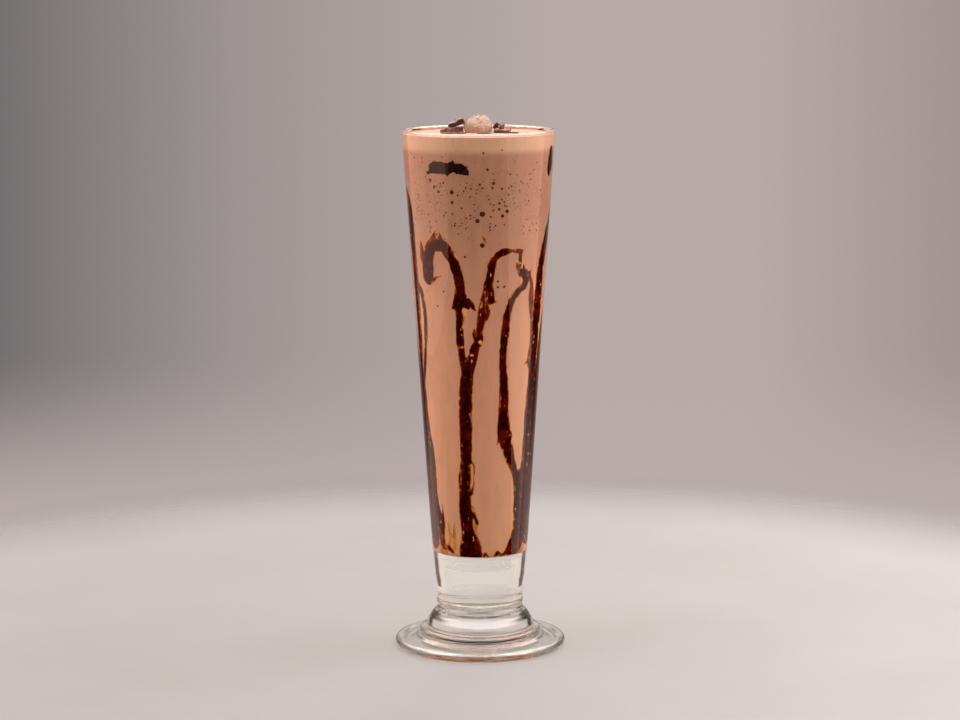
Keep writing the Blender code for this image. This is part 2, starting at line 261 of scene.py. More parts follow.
bowl_base = (BOWL_BASE_RADIUS, BOWL_BASE_HEIGHT)
outside = rounded([lip[-1], bowl_base, *foot, (0.0, PUNT_HEIGHT)], ROUNDING, ROUNDING_STEPS)
inside = [(0.0, BOWL_FLOOR)] + arc((FILLET_MIDDLE, FILLET_TOP), FLOOR_FILLET, -90, 0, FILLET_STEPS)
glass_body = turned(with_rings(inside + lip + outside[1:]), TURN_STEPS)
glass = add_piece("pilsner_glass", glass_body, soda_lime_glass())
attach(glass, "root")
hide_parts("glass")


# ---------------------------------------------------------------- the sauce
# Chocolate sauce, poured down the inside of the wall before the drink went in.
# It is thick glucose syrup with cocoa: nearly black where it is deep, and
# red-brown to orange where it thins out over the pale drink.

SAUCE_DEPTH = 1.6 * MM
SAUCE_EDGE = 0.12 * MM
SAUCE_INTO_WALL = 0.12 * MM
# These are in millimetres, as the runs are.
SAUCE_SWELL = 1.3
SAUCE_CELL = 0.42
SAUCE_FLOOR = 44.4
FILM_DEPTH = 0.45
GLAZE_DEPTH = 0.08
SMALLEST_RADIUS = 22
FAR_OUTSIDE = -9.0
RUN_REACH = 6.0
EDGE_PROBE = 0.05
# Keeps a run of no length from dividing by nought.
NO_LENGTH = 1e-9
# In degrees to the sides and millimetres up and down.
PATCH_MARGIN = 2
# How sharply two runs flow together, and the points drawn between two stations.
SAUCE_JOIN = 2.4
RUN_STEPS = 5
# How often a vert is pulled onto the edge, and the least slope that it is pulled along.
EDGE_PULLS = 2
LEAST_SLOPE = 0.3

# Each run is a list of stations (angle, height, width): degrees from the front
# towards +X, then millimetres.
LEFT_ARCH = [(-47.5, 169.5, 3), (-50.5, 171, 7), (-50.5, 175, 7.8), (-49.5, 179, 6.6), (-45, 184, 6),
             (-38, 186, 6.2), (-31.5, 185, 6), (-26, 181.5, 5.8), (-21, 176.5, 5.3), (-18, 170, 5),
             (-17, 164, 5.2), (-16.5, 160.5, 6), (-18, 155, 3.8), (-18, 150, 4.2), (-18.5, 144.5, 4.3),
             (-17.5, 140, 3.8), (-16.5, 136, 3.8), (-14.5, 132.5, 4)]
RIGHT_ARCH = [(40, 183, 1.6), (34.5, 183, 2.4), (28.5, 183, 3), (22.5, 183, 3.8), (18, 182, 3.8),
              (14, 180, 3.9), (11.5, 177, 3.9), (10, 173, 3.9), (8.5, 169.5, 4), (5, 166, 1.8),
              (3.5, 163, 2), (2.5, 159, 2.7), (2.5, 155, 3.8), (1.5, 151, 3.7), (0, 147, 2.9),
              (-1, 143.5, 3), (-3.5, 141, 4), (-5, 138.5, 4.6), (-7, 134.5, 4.4), (-10, 130.5, 4.4)]
TRUNK = [(-11.5, 132, 6), (-12.5, 127, 6), (-14, 120, 6.3), (-14.5, 112, 6.3), (-14.5, 100, 5.8),
         (-15, 90, 5.2), (-15.5, 82.5, 4.6), (-17, 75.5, 5), (-17.5, 69, 6), (-16.5, 63, 6.2),
         (-15.5, 58.5, 5.6), (-14, 54.5, 6.5), (-12, 51, 8.5), (-11.5, 48, 10), (-11.5, 45, 10.4)]
RIGHT_LEG = [(38.5, 182.5, 2), (38, 179.5, 3), (38.5, 176.5, 4.4), (42, 173.5, 5.5), (45.5, 170.5, 5.4),
             (44, 167.5, 4.6), (39.5, 166, 3.6), (34.5, 163.5, 3.6), (30.5, 160.5, 3.8), (27.5, 156.5, 3.9),
             (26, 152, 4), (25, 147, 4.6), (24, 141, 4.1), (23.5, 136, 3.7), (24.5, 129, 4), (25.5, 121, 4.7),
             (26, 111, 5.2), (27, 103, 6.6), (29, 99.5, 7.2), (31.5, 95.5, 6.4), (35, 90.5, 5.4),
             (39.5, 86.5, 4.4), (44, 82, 3.6), (47.5, 76, 4), (48.5, 66, 3.8), (48, 56, 3.6), (43, 50, 3.4)]
RIGHT_SIDE = [(86, 199, 4), (81, 192, 6.4), (76.5, 186, 7.2), (72.5, 181, 7.2), (69, 174, 7),
              (67.5, 168, 7.2), (67.5, 160, 7.6), (66.5, 153, 7.4), (66, 145, 6.6), (65.5, 137, 6.4),
              (64.5, 130, 6.2), (63, 122, 6.2), (62, 114, 6), (61, 108, 6), (60.5, 98, 5.6),
              (60, 90, 5.6), (58, 84, 6.4)]
LEFT_SIDE = [(-82, 209, 3), (-77, 202, 6.5), (-75.5, 193, 8), (-74.5, 186, 7.6), (-73.5, 177.5, 6.6),
             (-73, 168, 6.2), (-73, 160, 6), (-73, 151, 5.6), (-73.5, 143, 5.4), (-75, 134, 5),
             (-76, 128, 5), (-75, 121, 6.6), (-75, 112, 8), (-74, 105, 7.6), (-70.5, 98, 6.6),
             (-65, 92.5, 5.3), (-63.5, 86, 5), (-63, 76, 4.8), (-61.5, 68.5, 4.3), (-58, 62.5, 4.6),
             (-54.5, 58, 4.7), (-52, 54, 2.8)]
LEFT_HOOK = [(-67, 166.5, 2.8), (-62.5, 163.5, 3.6), (-60, 158, 3.2), (-59, 152, 3), (-60, 146, 3.2),
             (-62, 139, 2.9), (-64.5, 133, 2.7), (-67.5, 127, 3), (-71, 122, 3)]
BACK_RIGHT = [(105, 186, 3), (110, 193, 5), (119, 192, 6), (126, 183, 5), (129, 168, 4.5),
              (130, 148, 4.5), (133, 127, 5), (136, 106, 4.5), (138, 86, 6), (140, 66, 7),
              (141, 50, 7)]
BACK_ARCH = [(163, 152, 2.6), (163, 166, 4), (168, 180, 5), (178, 186.5, 6), (188, 181, 5.5),
             (193, 168, 5), (195, 150, 4.5), (194, 129, 5), (190, 108, 5), (188, 88, 6),
             (186, 70, 7), (184, 51, 8)]
BACK_LEFT = [(222, 200, 2.6), (225, 188, 5), (229, 172, 5.5), (231, 152, 4.5), (229, 132, 4.5),
             (226, 112, 5.5), (228, 92, 5), (232, 74, 6), (235, 59, 5)]

# Barbs, strands and clots that hang on the runs.
FRONT_STRANDS = [
    [(-49, 170, 3.4), (-45, 170, 2.6), (-40.5, 171.2, 1.2), (-35, 172, 0.5)],
    [(-17, 163, 5), (-20, 160, 4.6), (-25.5, 157.6, 0.8)],
    [(-16, 163, 5), (-12, 160.5, 5.4), (-7, 159, 3.2), (-3.5, 157.4, 0.8)],
    [(-20, 159.6, 3), (-15.5, 160, 4.6), (-10, 159.4, 3.4)],
    [(8.5, 168, 3.9), (10.5, 165.5, 3.2), (11, 162.5, 3.4), (10, 160.5, 2.4)],
    [(11, 162, 2.6), (13.5, 161, 1.5), (17, 161, 0.5)],
    [(-2.5, 144.5, 2.4), (-5, 146.5, 1.9), (-4.5, 148.5, 0.8)],
    [(1.5, 146.5, 1.8), (3, 143.8, 1.2), (1, 141.2, 1.5), (-2, 139.5, 1.5)],
    [(-10, 89, 1.6), (-6, 86.5, 0.9), (-6.5, 82, 0.9), (-7, 78, 0.8), (-9.5, 74, 1.6)],
    [(-8, 64.5, 2), (-4.5, 62, 1.6), (-3, 60.3, 1.5)],
    [(45, 172, 4), (50, 172.5, 2), (53, 174.5, 0.6)],
    [(23.5, 100, 3), (20.5, 98, 1.4), (19, 95.8, 0.5)],
    [(20, 44.8, 1.2), (24, 46, 2.6), (28, 44.6, 1.4)],
    [(43, 50, 3.4), (36, 46.5, 2.4), (30, 45, 1.2)],
    [(57, 84, 6), (59, 76, 11), (58.5, 68, 10.2), (59, 60, 9.2), (57, 53, 9.2), (50, 48, 7.6),
     (40, 45.5, 2.4)],
    [(82, 156, 1), (81, 148, 3.6), (80, 138, 6), (79, 125, 8), (78, 110, 9.6), (79, 90, 11), (79, 70, 11),
     (78, 52, 10)],
]
LEFT_STRANDS = [
    [(-51, 58, 3), (-49.5, 62, 1.6), (-49.5, 67.5, 0.6)],
    [(-48, 47, 1.2), (-42.5, 48, 2.6), (-36.5, 46.3, 1.8)],
    [(-86, 146, 1), (-86, 138, 3.6), (-86, 125, 7), (-84, 108, 9), (-80, 92, 10.5), (-77, 76, 11),
     (-75, 62, 11), (-73, 50, 9)],
]
# Films are too thin to look dark, whatever their width.
FRONT_FILMS = [
    [(-58.5, 186.5, 1.2), (-57.5, 183, 3.4), (-57.5, 179.5, 3.4), (-54.5, 177, 4)],
    [(-43, 188, 3.6), (-41, 190, 2.4), (-39, 192.5, 0.8)],
    [(-36, 188, 3), (-34.5, 189.8, 1.5), (-36, 191.5, 0.7)],
    [(-47, 186.5, 2.6), (-50.5, 185.2, 1.6), (-53, 184, 0.7)],
    [(-33, 187, 2.4), (-33.5, 189, 1), (-34, 190, 0.5)],
    [(3.5, 190, 0.6), (5, 188.8, 1.2), (6.8, 186.8, 0.6)],
    [(7, 166, 2), (6.5, 162, 2), (7.5, 159, 2.2), (8.5, 156.5, 2), (6.5, 153.5, 2)],
    [(50, 172, 2.2), (53.5, 168, 2.6), (54.5, 162, 3.6), (55.5, 157, 3.4), (58, 150, 2.6), (58, 141, 2.2),
     (57, 134, 3.2), (59.5, 128, 2.6)],
    [(56.5, 133, 1.4), (53, 132.5, 0.9), (51, 132, 0.5)],
    [(-20.5, 87, 1.2), (-22.5, 84, 1), (-23.5, 79, 1.2), (-22, 74, 1.8)],
    [(5.5, 44.8, 1.2), (7, 46, 1.8), (10.5, 44.8, 1)],
]
LEFT_FILMS = [
    [(-57, 58, 2.5), (-54, 52, 4), (-51, 48, 3)],
]
# Glazes are thinner still: what is left where the sauce has drained away.
FRONT_GLAZES = [
    [(-12, 160, 3), (-13.5, 156.5, 2.2), (-15, 153, 1.4)],
    [(-8, 67, 1.6), (-7, 61, 2), (-5, 55, 2), (-3.5, 50, 2.4), (-2.5, 45.5, 2.4)],
    [(-20, 58, 1.4), (-21.5, 52, 2.4), (-23, 46, 3)],
    [(62, 60, 9), (58, 50, 12), (46, 45.2, 5)],
]
LEFT_GLAZES = [
    [(-62, 52, 8), (-54, 47.5, 7)],
    [(-42, 59, 0.8), (-41, 55.5, 1.2), (-40.5, 50, 1.6)],
    [(-38.5, 54, 1.4), (-36.5, 50, 2.2), (-35, 47, 2)],
    [(-33, 59.5, 0.7), (-33, 54, 1.3), (-33.5, 49, 1)],
]

# Replaced node: (deep runs, films, glazes).
SAUCE_PATCHES = {
    "sauce_front": (
        [LEFT_ARCH, RIGHT_ARCH, TRUNK, RIGHT_LEG, RIGHT_SIDE] + FRONT_STRANDS, FRONT_FILMS, FRONT_GLAZES),
    "sauce_left": ([LEFT_SIDE, LEFT_HOOK] + LEFT_STRANDS, LEFT_FILMS, LEFT_GLAZES),
    "sauce_back_right": ([BACK_RIGHT], [[(119, 194, 4), (114, 199, 2), (112, 203, 0.8)]], []),
    "sauce_back": ([BACK_ARCH], [[(163, 153, 3), (166, 146, 1.4), (168, 142, 0.6)]], []),
    "sauce_back_left": ([BACK_LEFT], [[(229, 152, 3), (222, 147, 1.8), (220, 142, 0.7)]], []),
}

# Places (angle, height, radius, loss) where the sauce is thin and glows orange.
THIN_SPOTS = [
    (-14, 157, 2.0, 2.4), (0.5, 143, 1.1, 3.0), (-6.5, 137, 1.3, 3.0), (-17.5, 140.5, 1.6, 1.8),
    (-13, 107, 0.9, 2.6), (-13, 101, 1.0, 1.6), (-20.5, 117.5, 1.0, 1.5), (-30, 183, 2.4, 0.7),
    (-22, 181, 2.6, 0.9), (-28, 178, 2.0, 0.9), (15, 180, 2.2, 0.8), (30, 181.5, 2.0, 0.9),
    (38, 97, 2.2, 1.0), (33, 100, 1.2, 1.6), (62, 85, 3.0, 1.0), (52, 74, 3.0, 1.0), (41, 170, 2.4, 0.8),
    (-14, 133, 1.4, 1.2), (-72, 150, 2.0, 0.8), (69, 165, 2.0, 0.8),
    (74, 174, 2.4, 0.9), (72, 159, 2.2, 0.9), (71, 148, 2.4, 0.9),
]
SPOT_SHARPNESS = 1.6


def catmull(before, start, end, after, part):
    """A point on the smooth curve through start and end."""
    square, cube = part ** 2, part ** 3
    weights = [(-cube + 2 * square - part) / 2, (3 * cube - 5 * square + 2) / 2,
               (-3 * cube + 4 * square + part) / 2, (cube - square) / 2]
    return tuple(sum(w * p[axis] for w, p in zip(weights, (before, start, end, after))) for axis in range(3))


def smooth_run(stations):
    """The run's points along one smooth curve."""
    ends = [stations[0], *stations, stations[-1]]
    spans = zip(ends, ends[1:], ends[2:], ends[3:])
    points = [catmull(*span, step / RUN_STEPS) for span in spans for step in range(RUN_STEPS)]
    return points + [stations[-1]]


def wall_radius(heights):
    """Inner radius of the bowl in millimetres at heights in millimetres."""
    return (outer_radius(heights * MM) - WALL) / MM


def run_field(angles, heights, run):
    """How far each point lies inside a run, in millimetres; less than nought is outside."""
    radius = wall_radius(heights)
    best = np.full(angles.shape, FAR_OUTSIDE)
    points = smooth_run(run)
    for (angle_a, height_a, width_a), (angle_b, height_b, width_b) in zip(points, points[1:]):
        reach = max(width_a, width_b) + RUN_REACH
        near = (heights > min(height_a, height_b) - reach) & (heights < max(height_a, height_b) + reach)
        across = np.radians(angles[near] - angle_a) * radius[near]
        up = heights[near] - height_a
        run_across = math.radians(angle_b - angle_a) * radius[near]
        run_up = height_b - height_a
        length_squared = run_across ** 2 + run_up ** 2 + NO_LENGTH
        part = np.clip((across * run_across + up * run_up) / length_squared, 0, 1)
        away = np.hypot(across - part * run_across, up - part * run_up)
        best[near] = np.maximum(best[near], (width_a + (width_b - width_a) * part) / 2 - away)
    return best


# Waves in an edge: (amount, size across, size down, seed), in millimetres.
EDGE_WAVES = [(0.42, 2.6, 6.5, 3.7), (0.26, 0.9, 2.4, 9.1)]


def ragged(angles, heights):
    """Unevenness of the sauce's edge, in millimetres, drawn out down the wall."""
    across = np.radians(angles) * wall_radius(heights)
    return np.array([sum(amount * noise.noise(Vector((u / wide, v / tall, seed)))
                         for amount, wide, tall, seed in EDGE_WAVES) for u, v in zip(across, heights)])


def joined_field(angles, heights, runs):
    """How far each point lies inside the nearest runs, which flow together where they meet."""
    joined = np.full(angles.shape, FAR_OUTSIDE)
    for run in runs:
        joined = np.logaddexp(joined * SAUCE_JOIN, run_field(angles, heights, run) * SAUCE_JOIN) / SAUCE_JOIN
    return joined


def sauce_field(angles, heights, runs, roughness=1.0):
    """How far each point lies inside the sauce's ragged edge, in millimetres."""
    return joined_field(angles, heights, runs) + ragged(angles, heights) * roughness


def at_wall(angle_deg, height, proud):
    """A place on the bowl's inner wall, proud of it into the glass."""
    angle = math.radians(angle_deg)
    radius = inner_radius(height) + proud
    return Vector((radius * math.sin(angle), -radius * math.cos(angle), height))


def thickened(sheet, thickness):
    """A sheet on the wall made solid: it grows inwards by the thickness at each vert."""
    grown = bmesh.ops.extrude_face_region(sheet, geom=sheet.faces[:], use_keep_orig=True)["geom"]
    for vert in [item for item in grown if isinstance(item, bmesh.types.BMVert)]:
        vert.co -= Vector((vert.co.x, vert.co.y, 0.0)).normalized() * thickness(vert)
    bmesh.ops.recalc_face_normals(sheet, faces=sheet.faces)
    return sheet


def patch_reach(runs):
    """The least and greatest angle and height that the runs may reach."""
    stations = [station for run in runs for station in run]
    sides = [(angle, math.degrees(width / SMALLEST_RADIUS)) for angle, _, width in stations]
    low_angle = min(angle - spread for angle, spread in sides) - PATCH_MARGIN
    high_angle = max(angle + spread for angle, spread in sides) + PATCH_MARGIN
    low = max(SAUCE_FLOOR, min(height - width / 2 for _, height, width in stations) - PATCH_MARGIN)
    high = max(height + width / 2 for _, height, width in stations) + PATCH_MARGIN
    return low_angle, high_angle, low, high


def pulled_to_edge(angles, heights, runs, roughness):
    """Places near the sauce's edge, moved onto it along the field's slope."""
    for _ in range(EDGE_PULLS):
        per_degree = np.radians(1.0) * wall_radius(heights)
        here = sauce_field(angles, heights, runs, roughness)
        aside = sauce_field(angles + EDGE_PROBE / per_degree, heights, runs, roughness)
        above = sauce_field(angles, heights + EDGE_PROBE, runs, roughness)
        slope_a = (aside - here) / EDGE_PROBE
        slope_h = (above - here) / EDGE_PROBE
        steep = np.maximum(slope_a ** 2 + slope_h ** 2, LEAST_SLOPE)
        angles = angles + np.clip(-here * slope_a / steep, -SAUCE_CELL, SAUCE_CELL) / per_degree
        heights = heights + np.clip(-here * slope_h / steep, -SAUCE_CELL, SAUCE_CELL)
    return angles, heights


def thinned(depth, angle, height):
    """The sauce's depth at a place, less what the thin spots take from it."""
    radius = wall_radius(height)
    for spot_angle, spot_height, size, loss in THIN_SPOTS:
        across = math.radians(angle) * radius - math.radians(spot_angle) * radius
        away = math.hypot(across, height - spot_height)
        depth -= loss * math.exp(-(away / size * SPOT_SHARPNESS) ** 2)
    return max(depth, 0.0)


def wall_patch(deep_runs, films=(), glazes=(), most_depth=SAUCE_DEPTH, roughness=1.0):
    """One patch on the wall: a net over it, trimmed to the patch's edge and given its depth."""
    thick_runs = list(deep_runs) + list(films)
    runs = thick_runs + list(glazes)
    low_angle, high_angle, low, high = patch_reach(runs)
    columns = round(math.radians(high_angle - low_angle) * wall_radius(high) / SAUCE_CELL)
    rows = round((high - low) / SAUCE_CELL)
    net = bmesh.new()
    bmesh.ops.create_grid(net, x_segments=columns, y_segments=rows, size=0.5)
    place = np.array([vert.co[:2] for vert in net.verts]) + 0.5
    angles = low_angle + place[:, 0] * (high_angle - low_angle)
    heights = low + place[:, 1] * (high - low)
    field = sauce_field(angles, heights, runs, roughness)
    # Cells wholly outside the sauce go; the verts left outside are pulled onto its edge.
    net.verts.index_update()
    bare = [face for face in net.faces if all(field[vert.index] <= 0 for vert in face.verts)]
    kept = set(net.faces) - set(bare)
    edge = np.array(sorted({vert.index for face in kept for vert in face.verts if field[vert.index] <= 0}))
    angles[edge], heights[edge] = pulled_to_edge(angles[edge], heights[edge], runs, roughness)
    field[edge] = 0.0
    heights = np.clip(heights, low, high)
    film_depths = np.minimum(np.minimum(joined_field(angles, heights, thick_runs), field), FILM_DEPTH)
    depths = np.minimum(joined_field(angles, heights, deep_runs), field)
    depths = np.maximum(np.maximum(depths, film_depths), np.minimum(field, GLAZE_DEPTH))
    depth_layer = net.verts.layers.float.new("depth")
    for vert in net.verts:
        angle, height = angles[vert.index], heights[vert.index]
        vert[depth_layer] = thinned(max(depths[vert.index], 0.0), angle, height)
        vert.co = at_wall(angle, height * MM, SAUCE_INTO_WALL)
    bmesh.ops.delete(net, geom=bare, context="FACES")

    def thickness(vert):
        """How far the sauce reaches inwards from its face in the wall."""
        swell = 1 - math.exp(-vert[depth_layer] / SAUCE_SWELL)
        return SAUCE_EDGE + SAUCE_INTO_WALL + (most_depth - SAUCE_EDGE) * swell

    return thickened(net, thickness)


def chocolate_syrup():
    """Cocoa syrup against glass: black-brown where deep, glowing red and orange where thin, with specks of
    painted glint.
    """
    material, tree = new_material("chocolate_syrup")
    depth = add_node(tree, "ShaderNodeAttribute", attribute_name="depth", attribute_type="GEOMETRY")
    place = add_node(tree, "ShaderNodeTexCoord").outputs["Object"]
    # Streaks about 1 mm wide and 9 mm long, drawn out as the sauce ran down.
    streaks = add_node(tree, "ShaderNodeMapping", {"Vector": place, "Scale": (900, 900, 110)})
    streak = clouds(tree, streaks, Scale=1.0, Detail=3.0)
    # Clots and thin places about 2 mm across.
    clot = clouds(tree, place, Scale=480.0, Detail=3.0)
    both = maths(tree, "ADD", streak, clot)
    spread = maths(tree, "MULTIPLY_ADD", both, 1.3, -0.88)
    share = maths(tree, "MULTIPLY", depth.outputs["Fac"], spread)
    shade = ramp(tree, share, [
        (0.0, "#d9995f"), (0.035, "#c2783a"), (0.10, "#8a3a12"), (0.22, "#481304"), (0.38, "#300602"),
        (1.0, "#240301")])
    # Patches 6 mm across where the sauce lets a red glow through.
    patch = clouds(tree, place, Scale=170.0, Detail=2.0)
    glow = remap(tree, patch, (0.50, 0.66), (0.0, 0.35))
    red = mixed(tree, glow, shade, colour("#7c1403"))
    # Painted glints: specks of light drawn into the colour 0.4 mm wide, coarse enough to show.
    glint_cells = add_node(tree, "ShaderNodeTexVoronoi", {"Vector": place, "Scale": 330.0})
    few = add_node(tree, "ShaderNodeSeparateXYZ", {0: glint_cells.outputs["Color"]})
    rare = maths(tree, "GREATER_THAN", few.outputs["X"], 0.8)
    near = remap(tree, glint_cells.outputs["Distance"], (0.05, 0.16), (0.6, 0.0))
    painted_glint = maths(tree, "MULTIPLY", rare, near)
    glinted = mixed(tree, painted_glint, red, colour("#c98f72"))
    syrup = add_node(tree, "ShaderNodeBsdfPrincipled", {
        "Base Color": glinted, "Roughness": 0.4, "IOR": 1.45, "Specular IOR Level": 0.0})
    return finished(material, syrup)


syrup = chocolate_syrup()
for node_name, runs in SAUCE_PATCHES.items():
    patch = add_piece(node_name.replace("sauce", "syrup"), wall_patch(*runs), syrup)
    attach(patch, "root")
    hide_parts(node_name)


# -------------------------------------------------------------- the smoothie
# Milk blended with cocoa and whey powder and filled almost to the lip.  The
# whisked air has risen: the top third is foam, drawn darker, with bubbles that
# lie against the glass, and the last few millimetres are a pale froth.

SMOOTHIE_TURN_STEPS = 240
SMOOTHIE_INTO_WALL = 0.05 * MM
DRINK_LEVEL = 233.1 * MM
FOAM_SWELL = 0.8 * MM
FOAM_RIPPLE = 0.35 * MM
FOAM_RIPPLE_SIZE = 9 * MM
# How soon the ripples come to their full height inwards from the wall.
FOAM_FREEDOM = 5
FROTH = 0.10 * MM
FROTH_SIZE = 1.6 * MM
MENISCUS = 0.3 * MM
MENISCUS_REACH = 0.8 * MM
TOP_RINGS = 44
SIDE_ROWS = 76
FLOOR_STEPS = 8

# Large bubbles that stand out, as (angle, height, diameter) in degrees and millimetres.
LARGE_BUBBLES = [
    (3, 200, 2.4), (-1, 197, 2.0), (24, 201, 1.8), (20, 199, 1.5), (17, 202, 1.3), (17, 204.6, 1.2),
    (-22, 209.5, 2.0), (-22, 205, 1.4), (3, 186.2, 2.2), (12, 213.5, 1.5), (11, 211.5, 1.2),
    (7, 219.5, 1.3), (1, 213, 1.1), (3, 211.5, 1.0), (19, 211, 1.1), (-29, 213.5, 1.1), (-12, 181, 1.1),
    (17, 170, 1.0), (17, 167.5, 1.1), (23, 167.5, 1.2), (15, 176, 0.7), (12, 201.5, 0.9), (10, 198.8, 0.9),
    (-28, 200.5, 0.9), (-22, 200, 0.9), (-4, 198.6, 0.8), (-6, 211, 0.9), (-7, 207.5, 0.8),
    (-42, 214.5, 2.0), (-38, 211.5, 1.6), (-34, 209.5, 1.4), (-26, 217.5, 1.0), (50, 195, 0.8),
    (-45, 196, 1.0), (-44, 193.5, 1.1), (35, 210, 0.8), (38, 213, 0.8), (-14, 202.5, 0.9),
]
SMALL_BUBBLES = 1500
BUBBLE_SEED = 11
SMALLEST_BUBBLE = 0.4
BUBBLE_BAND = 206
BUBBLE_BAND_SPREAD = 8.5
LOWEST_BUBBLE = 150
HIGHEST_BUBBLE = 231
FROTH_FROM = 226
CLUSTER_WIDE_DEG = 11
CLUSTER_TALL = 6
# The share that keeps to the band, and how thick a cluster is that keeps none or all of its bubbles.
BUBBLE_BAND_SHARE = 0.9
CLUSTER_LIMITS = (-0.2, 0.5)
# How much larger than the smallest they may be, and how rarely they are.
BUBBLE_GROWTH = 0.6
BUBBLE_RARITY = 3.2
# The froth shows bubbles only near its front.
FROTH_MIDDLE_DEG = 3
FROTH_SIDE_DEG = 21
# Millimetres along the wall in one degree.
WALL_PER_DEGREE = 0.53
BUBBLE_GAP = 0.6
BUBBLE_SINK = 0.25
# Diameters from which a ball is drawn finer.
FINE_BALL = 1.3
MIDDLE_BALL = 0.6
# How deep a face must lie behind the glass to count as part of a bubble's hollow, which is coloured in
# painted shade.
HOLLOW_FROM = 0.012 * MM
FACES_UP = 0.5
SHARP_ANGLE_DEG = 40


def foam_height(x, y):
    """How far the top stands above the drink's level."""
    edge = inner_radius(DRINK_LEVEL)
    inward = max(0.0, 1.0 - math.hypot(x, y) / edge)
    ripple = noise.noise(Vector((x, y, 0.0)) / FOAM_RIPPLE_SIZE)
    froth = noise.noise(Vector((x, y, 0.5)) / FROTH_SIZE)
    climb = MENISCUS * math.exp(-inward * edge / MENISCUS_REACH)
    loose = min(1.0, inward * FOAM_FREEDOM)
    return FOAM_SWELL * math.sqrt(inward) + (FOAM_RIPPLE * ripple + FROTH * froth) * loose + climb


def bubble_cutter(bubbles):
    """Small balls that hollow the drink where bubbles lie against the glass."""
    balls = bmesh.new()
    for angle, height, diameter in bubbles:
        radius = diameter * MM / 2
        middle = at_wall(angle, height * MM, SMOOTHIE_INTO_WALL - radius * BUBBLE_SINK)
        fineness = 3 if diameter > FINE_BALL else 2 if diameter > MIDDLE_BALL else 1
        bmesh.ops.create_icosphere(balls, subdivisions=fineness, radius=radius,
                                   matrix=Matrix.Translation(middle))
    return balls


def seeded_bubbles():
    """The small bubbles: thickest in one band, in loose clusters, with a few in the froth at the front."""
    draw = random.Random(BUBBLE_SEED)
    bubbles = []
    while len(bubbles) < SMALL_BUBBLES:
        angle = draw.uniform(-180, 180)
        if draw.random() < BUBBLE_BAND_SHARE:
            height = draw.gauss(BUBBLE_BAND, BUBBLE_BAND_SPREAD)
        else:
            height = draw.uniform(LOWEST_BUBBLE, HIGHEST_BUBBLE)
        cluster = noise.noise(Vector((angle / CLUSTER_WIDE_DEG, height / CLUSTER_TALL, 1.3)))
        in_bare_froth = height > FROTH_FROM and abs(angle - FROTH_MIDDLE_DEG) > FROTH_SIDE_DEG
        if height > HIGHEST_BUBBLE or cluster < draw.uniform(*CLUSTER_LIMITS) or in_bare_froth:
            continue
        diameter = SMALLEST_BUBBLE + BUBBLE_GROWTH * draw.random() ** BUBBLE_RARITY
        near = any(abs(angle - a) * WALL_PER_DEGREE < (d + diameter) * BUBBLE_GAP
                   and abs(height - h) < (d + diameter) * BUBBLE_GAP for a, h, d in bubbles + LARGE_BUBBLES)
        if not near:
            bubbles.append((angle, height, diameter))
    return bubbles


def smoothie_body():
    """The drink as one turned body that reaches just into the wall, before its bubbles."""
    rim = inner_radius(DRINK_LEVEL) + SMOOTHIE_INTO_WALL
    top = [(rim * math.sin(math.pi / 2 * ring / TOP_RINGS), DRINK_LEVEL) for ring in range(TOP_RINGS)]
    side = [(rim, DRINK_LEVEL)]
    for row in range(1, SIDE_ROWS + 1):
        height = DRINK_LEVEL + (FILLET_TOP - DRINK_LEVEL) * row / SIDE_ROWS
        side.append((inner_radius(height) + SMOOTHIE_INTO_WALL, height))
    turn = arc((FILLET_MIDDLE, FILLET_TOP), FLOOR_FILLET + SMOOTHIE_INTO_WALL, 0, -90, FLOOR_STEPS)
    body = turned(top + side + turn[1:] + [(0.0, BOWL_FLOOR - SMOOTHIE_INTO_WALL)], SMOOTHIE_TURN_STEPS)
    for vert in body.verts:
        if vert.co.z > DRINK_LEVEL - WELD_DISTANCE:
            vert.co.z += foam_height(vert.co.x, vert.co.y)
            overhang = Vector((vert.co.x, vert.co.y))
            if overhang.length > rim - WELD_DISTANCE:
                vert.co.xy = overhang.normalized() * (inner_radius(vert.co.z) + SMOOTHIE_INTO_WALL)
    return body


